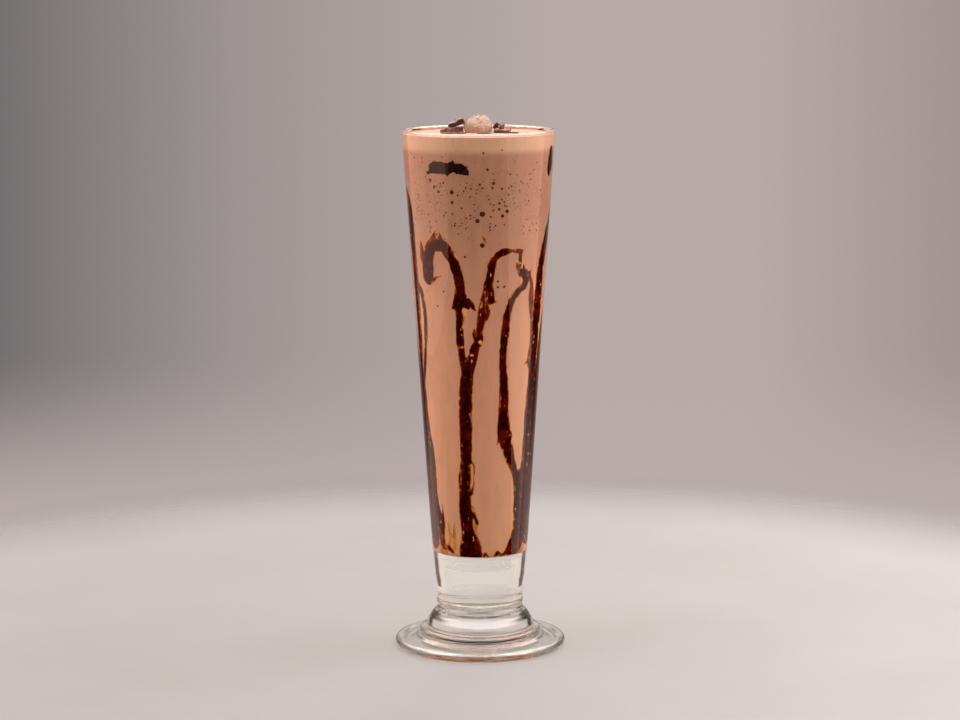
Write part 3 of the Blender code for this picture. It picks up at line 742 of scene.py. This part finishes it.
def chocolate_milk(name, under_glass):
    """Chocolate milk: an opaque pink-brown liquid, darker higher up, warmer below."""
    material, tree = new_material(name)
    place = add_node(tree, "ShaderNodeTexCoord").outputs["Object"]
    parts = add_node(tree, "ShaderNodeSeparateXYZ", {0: place})
    # Slow clouds some 30 mm tall shift the lower bands of colour up and down.
    tall = add_node(tree, "ShaderNodeMapping", {"Vector": place, "Scale": (60, 60, 30)})
    cloud = clouds(tree, tall, Scale=1.0, Detail=2.0)
    shift = maths(tree, "MULTIPLY_ADD", cloud, 0.03, -0.015)
    level = maths(tree, "ADD", parts.outputs["Z"], shift)
    share = remap(tree, level, (0.040, 0.240))
    # The colour runs from lighter and warmer at the bottom to darker at the top.
    band = ramp(tree, share, [
        (0.0, "#cd9472"), (0.35, "#ca8f70"), (0.55, "#c38a6e"), (0.70, "#b27c64"), (0.83, "#a6735b"),
        (0.93, "#a8745c")])
    # The last few millimetres under the surface are fine pale froth with a level lower edge.
    froth_band = eased(tree, parts.outputs["Z"], 0.2248, 0.2288)
    fine = mixed(tree, froth_band, band, colour("#ca9a7e"))
    # Streaks and swirls about 3 mm wide, where cocoa and milk are not quite mixed.
    run = add_node(tree, "ShaderNodeMapping", {"Vector": place, "Scale": (300, 300, 60)})
    swirl = clouds(tree, run, Scale=1.0, Detail=4.0, Distortion=0.6)
    # Foam cells 0.4 mm across, coarse enough to show.
    cells = add_node(tree, "ShaderNodeTexVoronoi", {"Vector": place, "Scale": 2400.0})
    cell = remap(tree, cells.outputs["Distance"], (0.0, 0.8), (0.93, 1.03))
    tone = remap(tree, swirl, (0.3, 0.7), (0.94, 1.05))
    both = maths(tree, "MULTIPLY", cell, tone)
    drink = add_node(tree, "ShaderNodeVectorMath", {0: fine, "Scale": both}, operation="SCALE")
    bump = add_node(tree, "ShaderNodeBump", {
        "Height": cells.outputs["Distance"], "Strength": 0.0 if under_glass else 0.35, "Distance": 0.0002})
    milk = add_node(tree, "ShaderNodeBsdfPrincipled", {
        "Base Color": drink, "Roughness": 0.4, "IOR": 1.35,
        "Specular IOR Level": 0.05 if under_glass else 0.5, "Normal": bump})
    return finished(material, milk)


def shaded_bubble_wall():
    """The wet hollow of a bubble, coloured darker as painted shade for the little light it holds."""
    material, tree = new_material("shaded_bubble_wall")
    place = add_node(tree, "ShaderNodeTexCoord").outputs["Object"]
    mottle = clouds(tree, place, Scale=900.0)
    shade = ramp(tree, mottle, [(0.3, "#6a3018"), (0.7, "#92502e")])
    wall = add_node(tree, "ShaderNodeBsdfPrincipled", {
        "Base Color": shade, "Roughness": 0.5, "IOR": 1.35, "Specular IOR Level": 0.0})
    return finished(material, wall)


# The drink's materials in their order: what lies against the glass comes first, as the default.
TOP, SHADED_HOLLOW = 1, 2
against_glass = chocolate_milk("milk_under_glass", True)
froth = chocolate_milk("milk_froth", False)
smoothie = add_piece("chocolate_smoothie", smoothie_body(), against_glass, froth, shaded_bubble_wall())
balls = add_piece("bubble_balls", bubble_cutter(LARGE_BUBBLES + seeded_bubbles()))
cut = smoothie.modifiers.new("bubbles", "BOOLEAN")
cut.operation = "DIFFERENCE"
cut.solver = "MANIFOLD"
cut.object = balls
hollowed = bpy.data.meshes.new_from_object(smoothie.evaluated_get(bpy.context.evaluated_depsgraph_get()))
smoothie.modifiers.clear()
smoothie.data = hollowed
bpy.data.objects.remove(balls)
# The top takes the froth; faces in a bubble's hollow take the darker wall, a painted shade.
for face in hollowed.polygons:
    middle = face.center
    reach = inner_radius(middle.z) + SMOOTHIE_INTO_WALL - math.hypot(middle.x, middle.y)
    if face.normal.z > FACES_UP and middle.z > DRINK_LEVEL - MM:
        face.material_index = TOP
    elif reach > HOLLOW_FROM and FILLET_TOP < middle.z < DRINK_LEVEL - MM:
        face.material_index = SHADED_HOLLOW
hollowed.set_sharp_from_angle(angle=math.radians(SHARP_ANGLE_DEG))
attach(smoothie, "root")
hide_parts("smoothie")

# Foam that clung to the back of the wall as the drink settled.
FILM_FROM_DEG = 96
FILM_TO_DEG = 264
FILM_TOP = 234.6 * MM
FILM_FOOT = 0.2 * MM
FILM_THICKNESS = 0.22 * MM
FILM_CELLS = (160, 8)
# Its usual share of the full height, how far its top waves, and how steeply it rises at its two ends.
FILM_SHARE = 0.82
FILM_WAVE = 0.4
FILM_WAVE_DEG = 4
FILM_TAPER = 9


def foam_film():
    """A ragged band of foam that follows the wall and the turn of the lip."""
    band = bmesh.new()
    bmesh.ops.create_grid(band, x_segments=FILM_CELLS[0], y_segments=FILM_CELLS[1], size=0.5)
    for vert in band.verts:
        along, up = vert.co.x + 0.5, vert.co.y + 0.5
        angle = FILM_FROM_DEG + along * (FILM_TO_DEG - FILM_FROM_DEG)
        taper = min(1.0, along * FILM_TAPER, (1 - along) * FILM_TAPER)
        wave = noise.noise(Vector((angle / FILM_WAVE_DEG, 0.0, 0.0)))
        swell = taper * (FILM_SHARE + FILM_WAVE * wave)
        height = DRINK_LEVEL - FILM_FOOT + up * (FILM_FOOT + (FILM_TOP - DRINK_LEVEL) * min(1.0, swell))
        over = max(0.0, height - GLASS_HEIGHT + LIP_RADIUS)
        lean = LIP_RADIUS - math.sqrt(LIP_RADIUS ** 2 - over ** 2)
        vert.co = at_wall(angle, height, SMOOTHIE_INTO_WALL + lean)
    return thickened(band, lambda vert: FILM_THICKNESS)


film = add_piece("foam_film", foam_film(), froth)
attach(film, "root")


# --------------------------------------------------------- chocolate pieces
# Broken dark chocolate, dropped in last: two slabs that sank against the
# glass, and shards, a chip, a crumb and a curled shaving that float on the
# froth.

# name: (replaced node, size, place, turn), in millimetres and degrees.
SLABS = {
    "broken_shard_low": ("shard_low", (7.4, 5.6, 2.2), (-10.4, -1.0, 235.0), (0, -4, 12)),
    "broken_shard_high": ("shard_high", (7.4, 4.6, 2.6), (-10.0, 0.6, 237.7), (6, -24, 4)),
    "flat_chip": ("chip_right", (7.6, 4.2, 1.4), (10.6, -3.4, 234.3), (0, 2, -8)),
    "red_crumb": ("crumb_left", (2.4, 2.2, 1.6), (-15.6, -2.5, 234.2), (0, 8, 30)),
}
SLAB_CUTS = 7
SLAB_SHRINK = 0.93
COARSE_BREAK = 2.6 * MM
COARSE_SWING = 2.2
FINE_BREAK = 0.9 * MM
BREAK_SHARE = 0.10
BREAK_BEVEL = 0.12 * MM
SHARP_BREAK = 0.9
CHOCOLATE_INTO_WALL = 0.14 * MM
SUNK_THICKNESS = 3.0 * MM
SUNK_ROUGHNESS = 1.9
# Each piece breaks by a seed of its own, a step on from the one before.
FIRST_SLAB_SEED = 14.6
SLAB_SEED_STEP = 7.3
FLAKE_SEED_STEP = 5.1

# The sunk slabs lie flat against the wall, so their outlines are drawn on it like the sauce's runs.
# name: (replaced node, outlines).
SUNK_SLABS = {
    "slab_at_wall": ("chunk_front", [
        [(-39.5, 220.2, 3.4), (-36, 220.8, 4.4), (-30, 220.5, 4.0), (-25, 220.4, 4.4), (-19, 220.3, 4.2),
         (-13.5, 219.8, 3.8), (-10.5, 218.9, 2.4)],
        [(-44.5, 217.6, 0.9), (-40, 218.4, 2.2), (-35, 218.4, 2.4), (-29, 218.6, 1.6)],
        [(-39, 221.5, 2), (-36, 222.9, 0.9)], [(-33.5, 221.6, 2), (-32, 222.8, 0.8)],
        [(-27, 218.8, 2.4), (-25.5, 217.2, 0.7)], [(-18, 218.6, 2.4), (-17.5, 217, 0.8)],
        [(-12, 218.6, 2), (-9.5, 217.6, 1)], [(-22, 222, 2), (-20, 222.9, 0.7)]]),
    "slab_at_side": ("chunk_side", [
        [(75, 227.5, 2), (76, 225, 5), (75.5, 221.5, 6), (74.5, 218.5, 5.4), (73.5, 216, 2)]]),
}


def broken_slab(size, place, turn_deg, seed):
    """A slab with crumbly broken edges, pressed flat where it meets the glass."""
    slab = bmesh.new()
    bmesh.ops.create_cube(slab, size=1.0)
    bmesh.ops.subdivide_edges(slab, edges=slab.edges[:], cuts=SLAB_CUTS, use_grid_fill=True)
    sizes = Vector(size) * MM
    for vert in slab.verts:
        spot = Vector([along * side for along, side in zip(vert.co, sizes)])
        coarse = noise.noise_vector(spot / COARSE_BREAK + Vector((seed, 0, 0))) * COARSE_SWING
        fine = noise.noise_vector(spot / FINE_BREAK + Vector((0, seed, 0)))
        vert.co = spot * SLAB_SHRINK + coarse * BREAK_SHARE * min(sizes) + fine * BREAK_SHARE * MM
    turn = rotation(turn_deg[2], "Z") @ rotation(turn_deg[1], "Y") @ rotation(turn_deg[0], "X")
    slab.transform(Matrix.Translation(Vector(place) * MM) @ turn)
    sharp = [edge for edge in slab.edges if edge.calc_face_angle(0.0) > SHARP_BREAK]
    bmesh.ops.bevel(slab, geom=sharp, offset=BREAK_BEVEL, segments=2, profile=0.5, affect="EDGES",
                    material=-1)
    for vert in slab.verts:
        reach = math.hypot(vert.co.x, vert.co.y)
        most = inner_radius(vert.co.z) + CHOCOLATE_INTO_WALL
        if reach > most:
            vert.co.xy = vert.co.xy * (most / reach)
    bmesh.ops.recalc_face_normals(slab, faces=slab.faces)
    return slab


def dark_chocolate(name, tint, specular):
    """Broken dark chocolate: a waxy red-black, with greyer high spots painted in as sheen."""
    material, tree = new_material(name)
    place = add_node(tree, "ShaderNodeTexCoord").outputs["Object"]
    # Grain of the break, about 0.5 mm.
    grain = clouds(tree, place, Scale=1400.0, Detail=4.0, Roughness=0.6)
    # The high spots of the grain are painted lighter and greyer, a painted sheen.
    shade = ramp(tree, grain, zip((0.3, 0.55, 0.75), tint))
    bump = add_node(tree, "ShaderNodeBump", {"Height": grain, "Strength": 0.6, "Distance": 0.0003})
    chocolate = add_node(tree, "ShaderNodeBsdfPrincipled", {
        "Base Color": shade, "Roughness": 0.38, "IOR": 1.46, "Specular IOR Level": specular,
        "Normal": bump})
    return finished(material, chocolate)


# The lightest copy is a painted lit face: it stands for pieces whose faces catch the light.
sunk_chocolate = dark_chocolate("chocolate_under_glass", ("#120603", "#220c07", "#54281c"), 0.05)
dry_chocolate = dark_chocolate("broken_chocolate", ("#2c110c", "#4a2218", "#8a5644"), 0.5)
lit_chocolate = dark_chocolate("lit_chocolate", ("#45211a", "#704638", "#a67a68"), 0.4)
for name, (node_name, outlines) in SUNK_SLABS.items():
    slab = wall_patch(outlines, most_depth=SUNK_THICKNESS, roughness=SUNK_ROUGHNESS)
    piece = add_piece(name, slab, sunk_chocolate)
    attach(piece, "root")
    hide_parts(node_name)
for number, (name, (node_name, size, place, turn)) in enumerate(SLABS.items()):
    finish = dry_chocolate if node_name == "shard_high" else lit_chocolate
    seed = number * SLAB_SEED_STEP + FIRST_SLAB_SEED
    piece = add_piece(name, broken_slab(size, place, turn, seed), finish)
    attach(piece, "root")
    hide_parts(node_name)

# Flakes and crumbs that float loose: (size, place, turn), in millimetres and degrees.
FLAKES = [
    ((11.0, 2.6, 0.5), (-11.0, -13.2, 234.2), (0, 0, 8)),
    ((6.4, 2.2, 0.5), (2.6, -14.2, 234.2), (0, 0, -6)),
    ((4.2, 2.2, 0.6), (15.6, -12.0, 234.25), (0, 0, -30)),
    ((1.6, 1.3, 0.9), (-15.2, 4.2, 234.4), (0, 10, 60)),
    ((2.2, 1.6, 0.9), (13.4, 1.2, 234.6), (0, -6, 35)),
    ((1.3, 1.0, 0.8), (7.6, -6.4, 234.5), (0, 4, 80)),
    ((6.2, 1.4, 0.7), (-27.6, 10.4, 234.4), (0, 0, 58)),
    ((2.2, 1.2, 0.8), (28.2, 8.2, 234.4), (0, 0, -50)),
]
for number, (size, place, turn) in enumerate(FLAKES, 1):
    crumb = broken_slab(size, place, turn, number * FLAKE_SEED_STEP)
    flake = add_piece(f"loose_flake_{number}", crumb, dry_chocolate)
    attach(flake, "root")

CURL_PLACE = Vector((9.3, 2.6, 236.0)) * MM
CURL_RADIUS = 1.5 * MM
CURL_THICKNESS = 0.8 * MM
CURL_LENGTH = 4.4 * MM
CURL_CELLS = (3, 12)
CURL_STEPS = 40
CURL_SWEEP_DEG = 285
CURL_TURN_DEG = -24
CURL_ROLL_DEG = 150
CURL_CRUMPLE_SIZE = 1.1 * MM
# In millimetres.
CURL_CRUMPLE = 0.42


def curled_shaving():
    """A shaving of chocolate that has rolled up on itself, with ragged ends."""
    strip = bmesh.new()
    half = CURL_LENGTH / 2
    inner_edge = CURL_RADIUS - CURL_THICKNESS / 2
    bmesh.ops.create_grid(strip, x_segments=CURL_CELLS[0], y_segments=CURL_CELLS[1], size=0.5)
    for vert in strip.verts:
        vert.co = Vector((inner_edge + (vert.co.x + 0.5) * CURL_THICKNESS, vert.co.y * half * 2, 0.0))
    bmesh.ops.spin(strip, geom=strip.faces[:], cent=(0, 0, 0), axis=(0, 1, 0),
                   angle=math.radians(CURL_SWEEP_DEG), steps=CURL_STEPS, use_duplicate=False)
    for vert in strip.verts:
        vert.co += noise.noise_vector(vert.co / CURL_CRUMPLE_SIZE) * CURL_CRUMPLE * MM
    turn = rotation(CURL_TURN_DEG, "Z") @ rotation(CURL_ROLL_DEG, "Y")
    strip.transform(Matrix.Translation(CURL_PLACE) @ turn)
    bmesh.ops.recalc_face_normals(strip, faces=strip.faces)
    return strip


curl = add_piece("curled_shaving", curled_shaving(), lit_chocolate)
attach(curl, "root")
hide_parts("curl")


# ------------------------------------------------------------------ the lump
# A scoop-end of frozen drink that bobs at the middle, wetted by the froth.  It
# is pale tan, pitted by small bubbles and shines in spots.

LUMP_PLACE = Vector((0.1, 0.0, 236.3)) * MM
LUMP_SIZE = Vector((6.0, 5.5, 5.3)) * MM
LUMP_FINENESS = 6
# Swells of the skin on a ball of radius 1: (how many across, how high).
LUMP_SWELLS = [(1.7, 0.10), (4.2, 0.035), (11.0, 0.012)]
LUMP_BELT = 0.10
LUMP_FLATTENING = 0.05
PITS_ACROSS = 3.4
PIT_DEPTH = 0.035
PIT_RADIUS = 0.22


def lump_body():
    """A lopsided dome with soft knobs and small pits."""
    ball = bmesh.new()
    bmesh.ops.create_icosphere(ball, subdivisions=LUMP_FINENESS, radius=1.0)
    for vert in ball.verts:
        swell = 1.0 + LUMP_BELT * (1.0 - abs(vert.co.z)) - LUMP_FLATTENING * max(0.0, vert.co.z)
        swell += sum(high * noise.noise(vert.co * across) for across, high in LUMP_SWELLS)
        pit = noise.voronoi(vert.co * PITS_ACROSS)[0][0]
        swell -= PIT_DEPTH * max(0.0, 1.0 - pit / PIT_RADIUS)
        vert.co = Vector([along * half * swell for along, half in zip(vert.co, LUMP_SIZE)]) + LUMP_PLACE
    return ball


def frozen_froth():
    """Frozen chocolate milk with a wet skin: pale tan, in patches of deeper and lighter tone."""
    material, tree = new_material("frozen_froth")
    place = add_node(tree, "ShaderNodeTexCoord").outputs["Object"]
    # Patches 3 mm across, then a fine grain of 0.5 mm ice and foam.
    patch = clouds(tree, place, Scale=330.0, Detail=5.0)
    shade = ramp(tree, patch, [(0.3, "#bf9079"), (0.5, "#cfa890"), (0.7, "#dcbdaa")])
    grain = add_node(tree, "ShaderNodeTexVoronoi", {"Vector": place, "Scale": 1700.0})
    bump = add_node(tree, "ShaderNodeBump", {
        "Height": grain.outputs["Distance"], "Strength": 0.9, "Distance": 0.0004})
    froth = add_node(tree, "ShaderNodeBsdfPrincipled", {
        "Base Color": shade, "Roughness": 0.18, "IOR": 1.34, "Normal": bump,
        "Subsurface Weight": 0.25, "Subsurface Radius": (1.0, 0.5, 0.3), "Subsurface Scale": 0.0015})
    return finished(material, froth)


lump = add_piece("frozen_lump", lump_body(), frozen_froth())
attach(lump, "root")
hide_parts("lump")


# ------------------------------------------------------------------ the stage
# A plain pale floor, which fades out before a plain grey-beige studio, two tall
# soft lights, one at each side, what the glass mirrors of them, and the camera.

FLOOR_RADIUS = 0.43
FLOOR_FADE = 0.27
FLOOR_SEGMENTS = 96


def pale_floor():
    """Smooth pale plaster that melts into the backdrop at its edge."""
    material, tree = new_material("pale_floor")
    place = add_node(tree, "ShaderNodeTexCoord").outputs["Object"]
    # Slow stains about 110 mm across.
    stain = clouds(tree, place, Scale=9.0, Detail=5.0)
    shade = ramp(tree, stain, [(0.3, "#b1acab"), (0.7, "#b7b4b3")])
    # The right soft light is the stronger, so painted light brightens the floor towards that side.
    aside = add_node(tree, "ShaderNodeSeparateXYZ", {0: place})
    painted_light_share = remap(tree, aside.outputs["X"], (-0.2, 0.2), (0.84, 1.12))
    tint = add_node(tree, "ShaderNodeVectorMath", {0: shade, "Scale": painted_light_share}, operation="SCALE")
    away = add_node(tree, "ShaderNodeVectorMath", {0: place}, operation="LENGTH")
    fade = eased(tree, away.outputs["Value"], FLOOR_FADE, FLOOR_RADIUS)
    floor = add_node(tree, "ShaderNodeBsdfPrincipled", {
        "Base Color": tint, "Roughness": 0.7, "Specular IOR Level": 0.2})
    clear = add_node(tree, "ShaderNodeBsdfTransparent")
    edge = add_node(tree, "ShaderNodeMixShader", {0: fade, 1: floor, 2: clear})
    return finished(material, edge)


disc = bmesh.new()
bmesh.ops.create_circle(disc, cap_ends=True, segments=FLOOR_SEGMENTS, radius=FLOOR_RADIUS)
floor = add_piece("floor", disc, pale_floor())
floor.visible_glossy = False


def studio_air():
    """What rays meet past the floor: the backdrop seen directly, an even fill for light, and what the glass
    mirrors and refracts of the room."""
    world = bpy.data.worlds.new("studio")
    bpy.context.scene.world = world
    world.use_nodes = True
    tree = world.node_tree
    tree.nodes.clear()
    place = add_node(tree, "ShaderNodeTexCoord").outputs["Generated"]
    parts = add_node(tree, "ShaderNodeSeparateXYZ", {0: place})
    across = remap(tree, parts.outputs["X"], (-0.2, 0.2))
    # Painted light on the backdrop: it is brightest a little right of the middle and falls off to both sides.
    backdrop_light_falloff = ramp(tree, across, [
        (0.05, "#6e6a6b"), (0.28, "#9c9392"), (0.38, "#a89d9b"), (0.58, "#b7aaa7"), (0.74, "#b7aaa7"),
        (0.92, "#a39692")])
    # The painted light's unevenness fades out towards the floor.
    upper = eased(tree, parts.outputs["Z"], -0.205, -0.14)
    backdrop = mixed(tree, upper, colour("#b9acaa"), backdrop_light_falloff)
    seen = add_node(tree, "ShaderNodeBackground", {"Color": backdrop, "Strength": 1.0})
    fill = add_node(tree, "ShaderNodeBackground", {"Color": colour("#c9c2c0"), "Strength": 1.0})
    # Mirrored upwards: the dark room, then the pale ceiling.
    overhead = ramp(tree, parts.outputs["Z"], [(0.0, "#161413"), (0.22, "#161413"), (0.5, "#f4ece6")])
    # Seen through the foot and stem: dark gaps between backdrop, table, lights and ceiling.
    behind = ramp(tree, parts.outputs["Z"], [
        (0.02, "#ebdfd9"), (0.05, "#241f1d"), (0.17, "#241f1d"), (0.21, "#d6cac4"), (0.32, "#cdc1bc"),
        (0.36, "#241f1d"), (0.52, "#1a1715"), (0.56, "#ffffff"), (0.62, "#ffffff"), (0.66, "#1a1715"),
        (0.84, "#1a1715"), (0.92, "#f0e8e2")])
    level = add_node(tree, "ShaderNodeVectorMath", {0: place, 1: (1, 1, 0)}, operation="MULTIPLY")
    heading = add_node(tree, "ShaderNodeVectorMath", {0: level}, operation="NORMALIZE")
    sideways = add_node(tree, "ShaderNodeSeparateXYZ", {0: heading})
    off_axis = maths(tree, "ABSOLUTE", sideways.outputs["X"])
    # Grazing reflections look back at the pale backdrop; all others at the dark room in front.
    backward = eased(tree, sideways.outputs["Y"], 0.72, 0.98)
    pale_air = ramp(tree, parts.outputs["Z"], [(0.02, "#958883"), (0.12, "#b9ada8"), (0.2, "#eae0db")])
    room = mixed(tree, backward, overhead, pale_air)
    # Low down, the sides of the glass also mirror the pale floor behind it.
    beyond = eased(tree, sideways.outputs["Y"], 0.0, 0.5)
    beneath = eased(tree, parts.outputs["Z"], -0.195, -0.265)
    floor_share = maths(tree, "MULTIPLY", beyond, beneath)
    room_floor = mixed(tree, floor_share, room, colour("#e6cfc4"))
    ceiling = remap(tree, parts.outputs["Z"], (0.4, 0.6), (1.0, 8.0))
    mirrored = add_node(tree, "ShaderNodeBackground", {"Color": room_floor, "Strength": ceiling})
    # The dark corners of the studio, between the backdrop and each soft light.
    corner = ramp(tree, off_axis, [
        (0.78, "#ffffff"), (0.83, "#2c2a28"), (0.93, "#2c2a28"), (0.96, "#ffffff")])
    seen_through = mixed(tree, 1.0, behind, corner, blend_type="MULTIPLY")
    beside = eased(tree, off_axis, 0.955, 0.985)
    lit_sides = mixed(tree, beside, seen_through, colour("#f6eee8"))
    # The room in front of the glass is dark.
    forward = remap(tree, sideways.outputs["Y"], (-0.1, -0.4))
    upward = remap(tree, parts.outputs["Z"], (-0.45, -0.25))
    front_share = maths(tree, "MULTIPLY", forward, upward)
    dark_front = mixed(tree, front_share, lit_sides, colour("#161413"))
    through = add_node(tree, "ShaderNodeBackground", {"Color": dark_front, "Strength": 1.0})
    # A refracted ray counts as mirrored too, so the refracted share comes last.
    path = add_node(tree, "ShaderNodeLightPath")
    soft = add_node(tree, "ShaderNodeMixShader", {0: path.outputs["Is Diffuse Ray"], 1: seen, 2: fill})
    glossy = add_node(tree, "ShaderNodeMixShader", {
        0: path.outputs["Is Glossy Ray"], 1: soft, 2: mirrored})
    refracted = add_node(tree, "ShaderNodeMixShader", {
        0: path.outputs["Is Transmission Ray"], 1: glossy, 2: through})
    add_node(tree, "ShaderNodeOutputWorld", {"Surface": refracted})


studio_air()

# Each soft box: (distance to the side, middle along Y and up, width, height, turn, radiance, tint), in
# metres and degrees.  The lights give the object its light; the sheens are what the glass mirrors of
# them, and they stand a little nearer so that neither hides the other.
SOFT_LIGHTS = {
    "soft_light_left": (-0.62, (0.0, 0.30), 1.04, 1.3, 0, 1.65, "#fffaf6"),
    "soft_light_right": (0.62, (-0.05, 0.30), 0.94, 1.3, 0, 2.2, "#fbfaf8"),
}
SHEENS = {
    "sheen_low_left": (-0.614, (0.02, 0.414), 1.55, 1.1, 20.6, 0.40, "#ffb89c"),
    "sheen_high_left": (-0.608, (0.05, 0.47), 1.06, 0.95, 0, 0.78, "#ffccb4"),
    "sheen_right": (0.614, (-0.21, 0.477), 1.19, 1.1, -19.3, 1.0, "#ffd2c2"),
}


def soft_box(name, aside, middle, across, tall, turn_deg, radiance, tint):
    """A soft light that faces the glass and isn't itself in view."""
    lamp = bpy.data.lights.new(name, "AREA")
    lamp.shape = "RECTANGLE"
    lamp.size = across
    lamp.size_y = tall
    lamp.energy = radiance * math.pi * across * tall
    lamp.color = colour(tint)[:3]
    light = bpy.data.objects.new(name, lamp)
    facing = Vector((aside, 0, 0)).to_track_quat("Z", "Y").to_matrix().to_4x4()
    light.matrix_world = Matrix.Translation((aside, *middle)) @ facing @ rotation(turn_deg, "Z")
    light.visible_camera = False
    light.visible_transmission = False
    bpy.context.scene.collection.objects.link(light)
    return light


for name, box in SOFT_LIGHTS.items():
    soft_box(name, *box).visible_glossy = False
for name, box in SHEENS.items():
    soft_box(name, *box).visible_diffuse = False

bpy.context.scene.view_settings.view_transform = "Standard"
# Light that has gone round inside the thick foot comes out again only after many bounces.
bpy.context.scene.cycles.max_bounces = 24
bpy.context.scene.cycles.glossy_bounces = 16
bpy.context.scene.cycles.transmission_bounces = 24

CAMERA_PLACE = Vector((0.0, -1.244, 0.3167))
CAMERA_AIM = Vector((0.00037, 0.0, 0.1310))
CAMERA_ROLL_DEG = -0.2
CAMERA_LENS = 104.535
CAMERA_SENSOR = 36
eye = bpy.data.cameras.new("camera")
eye.lens = CAMERA_LENS
eye.sensor_width = CAMERA_SENSOR
camera = bpy.data.objects.new("camera", eye)
aim = (CAMERA_AIM - CAMERA_PLACE).to_track_quat("-Z", "Y").to_matrix().to_4x4()
camera.matrix_world = Matrix.Translation(CAMERA_PLACE) @ aim @ rotation(CAMERA_ROLL_DEG, "Z")
bpy.context.scene.collection.objects.link(camera)
bpy.context.scene.camera = camera
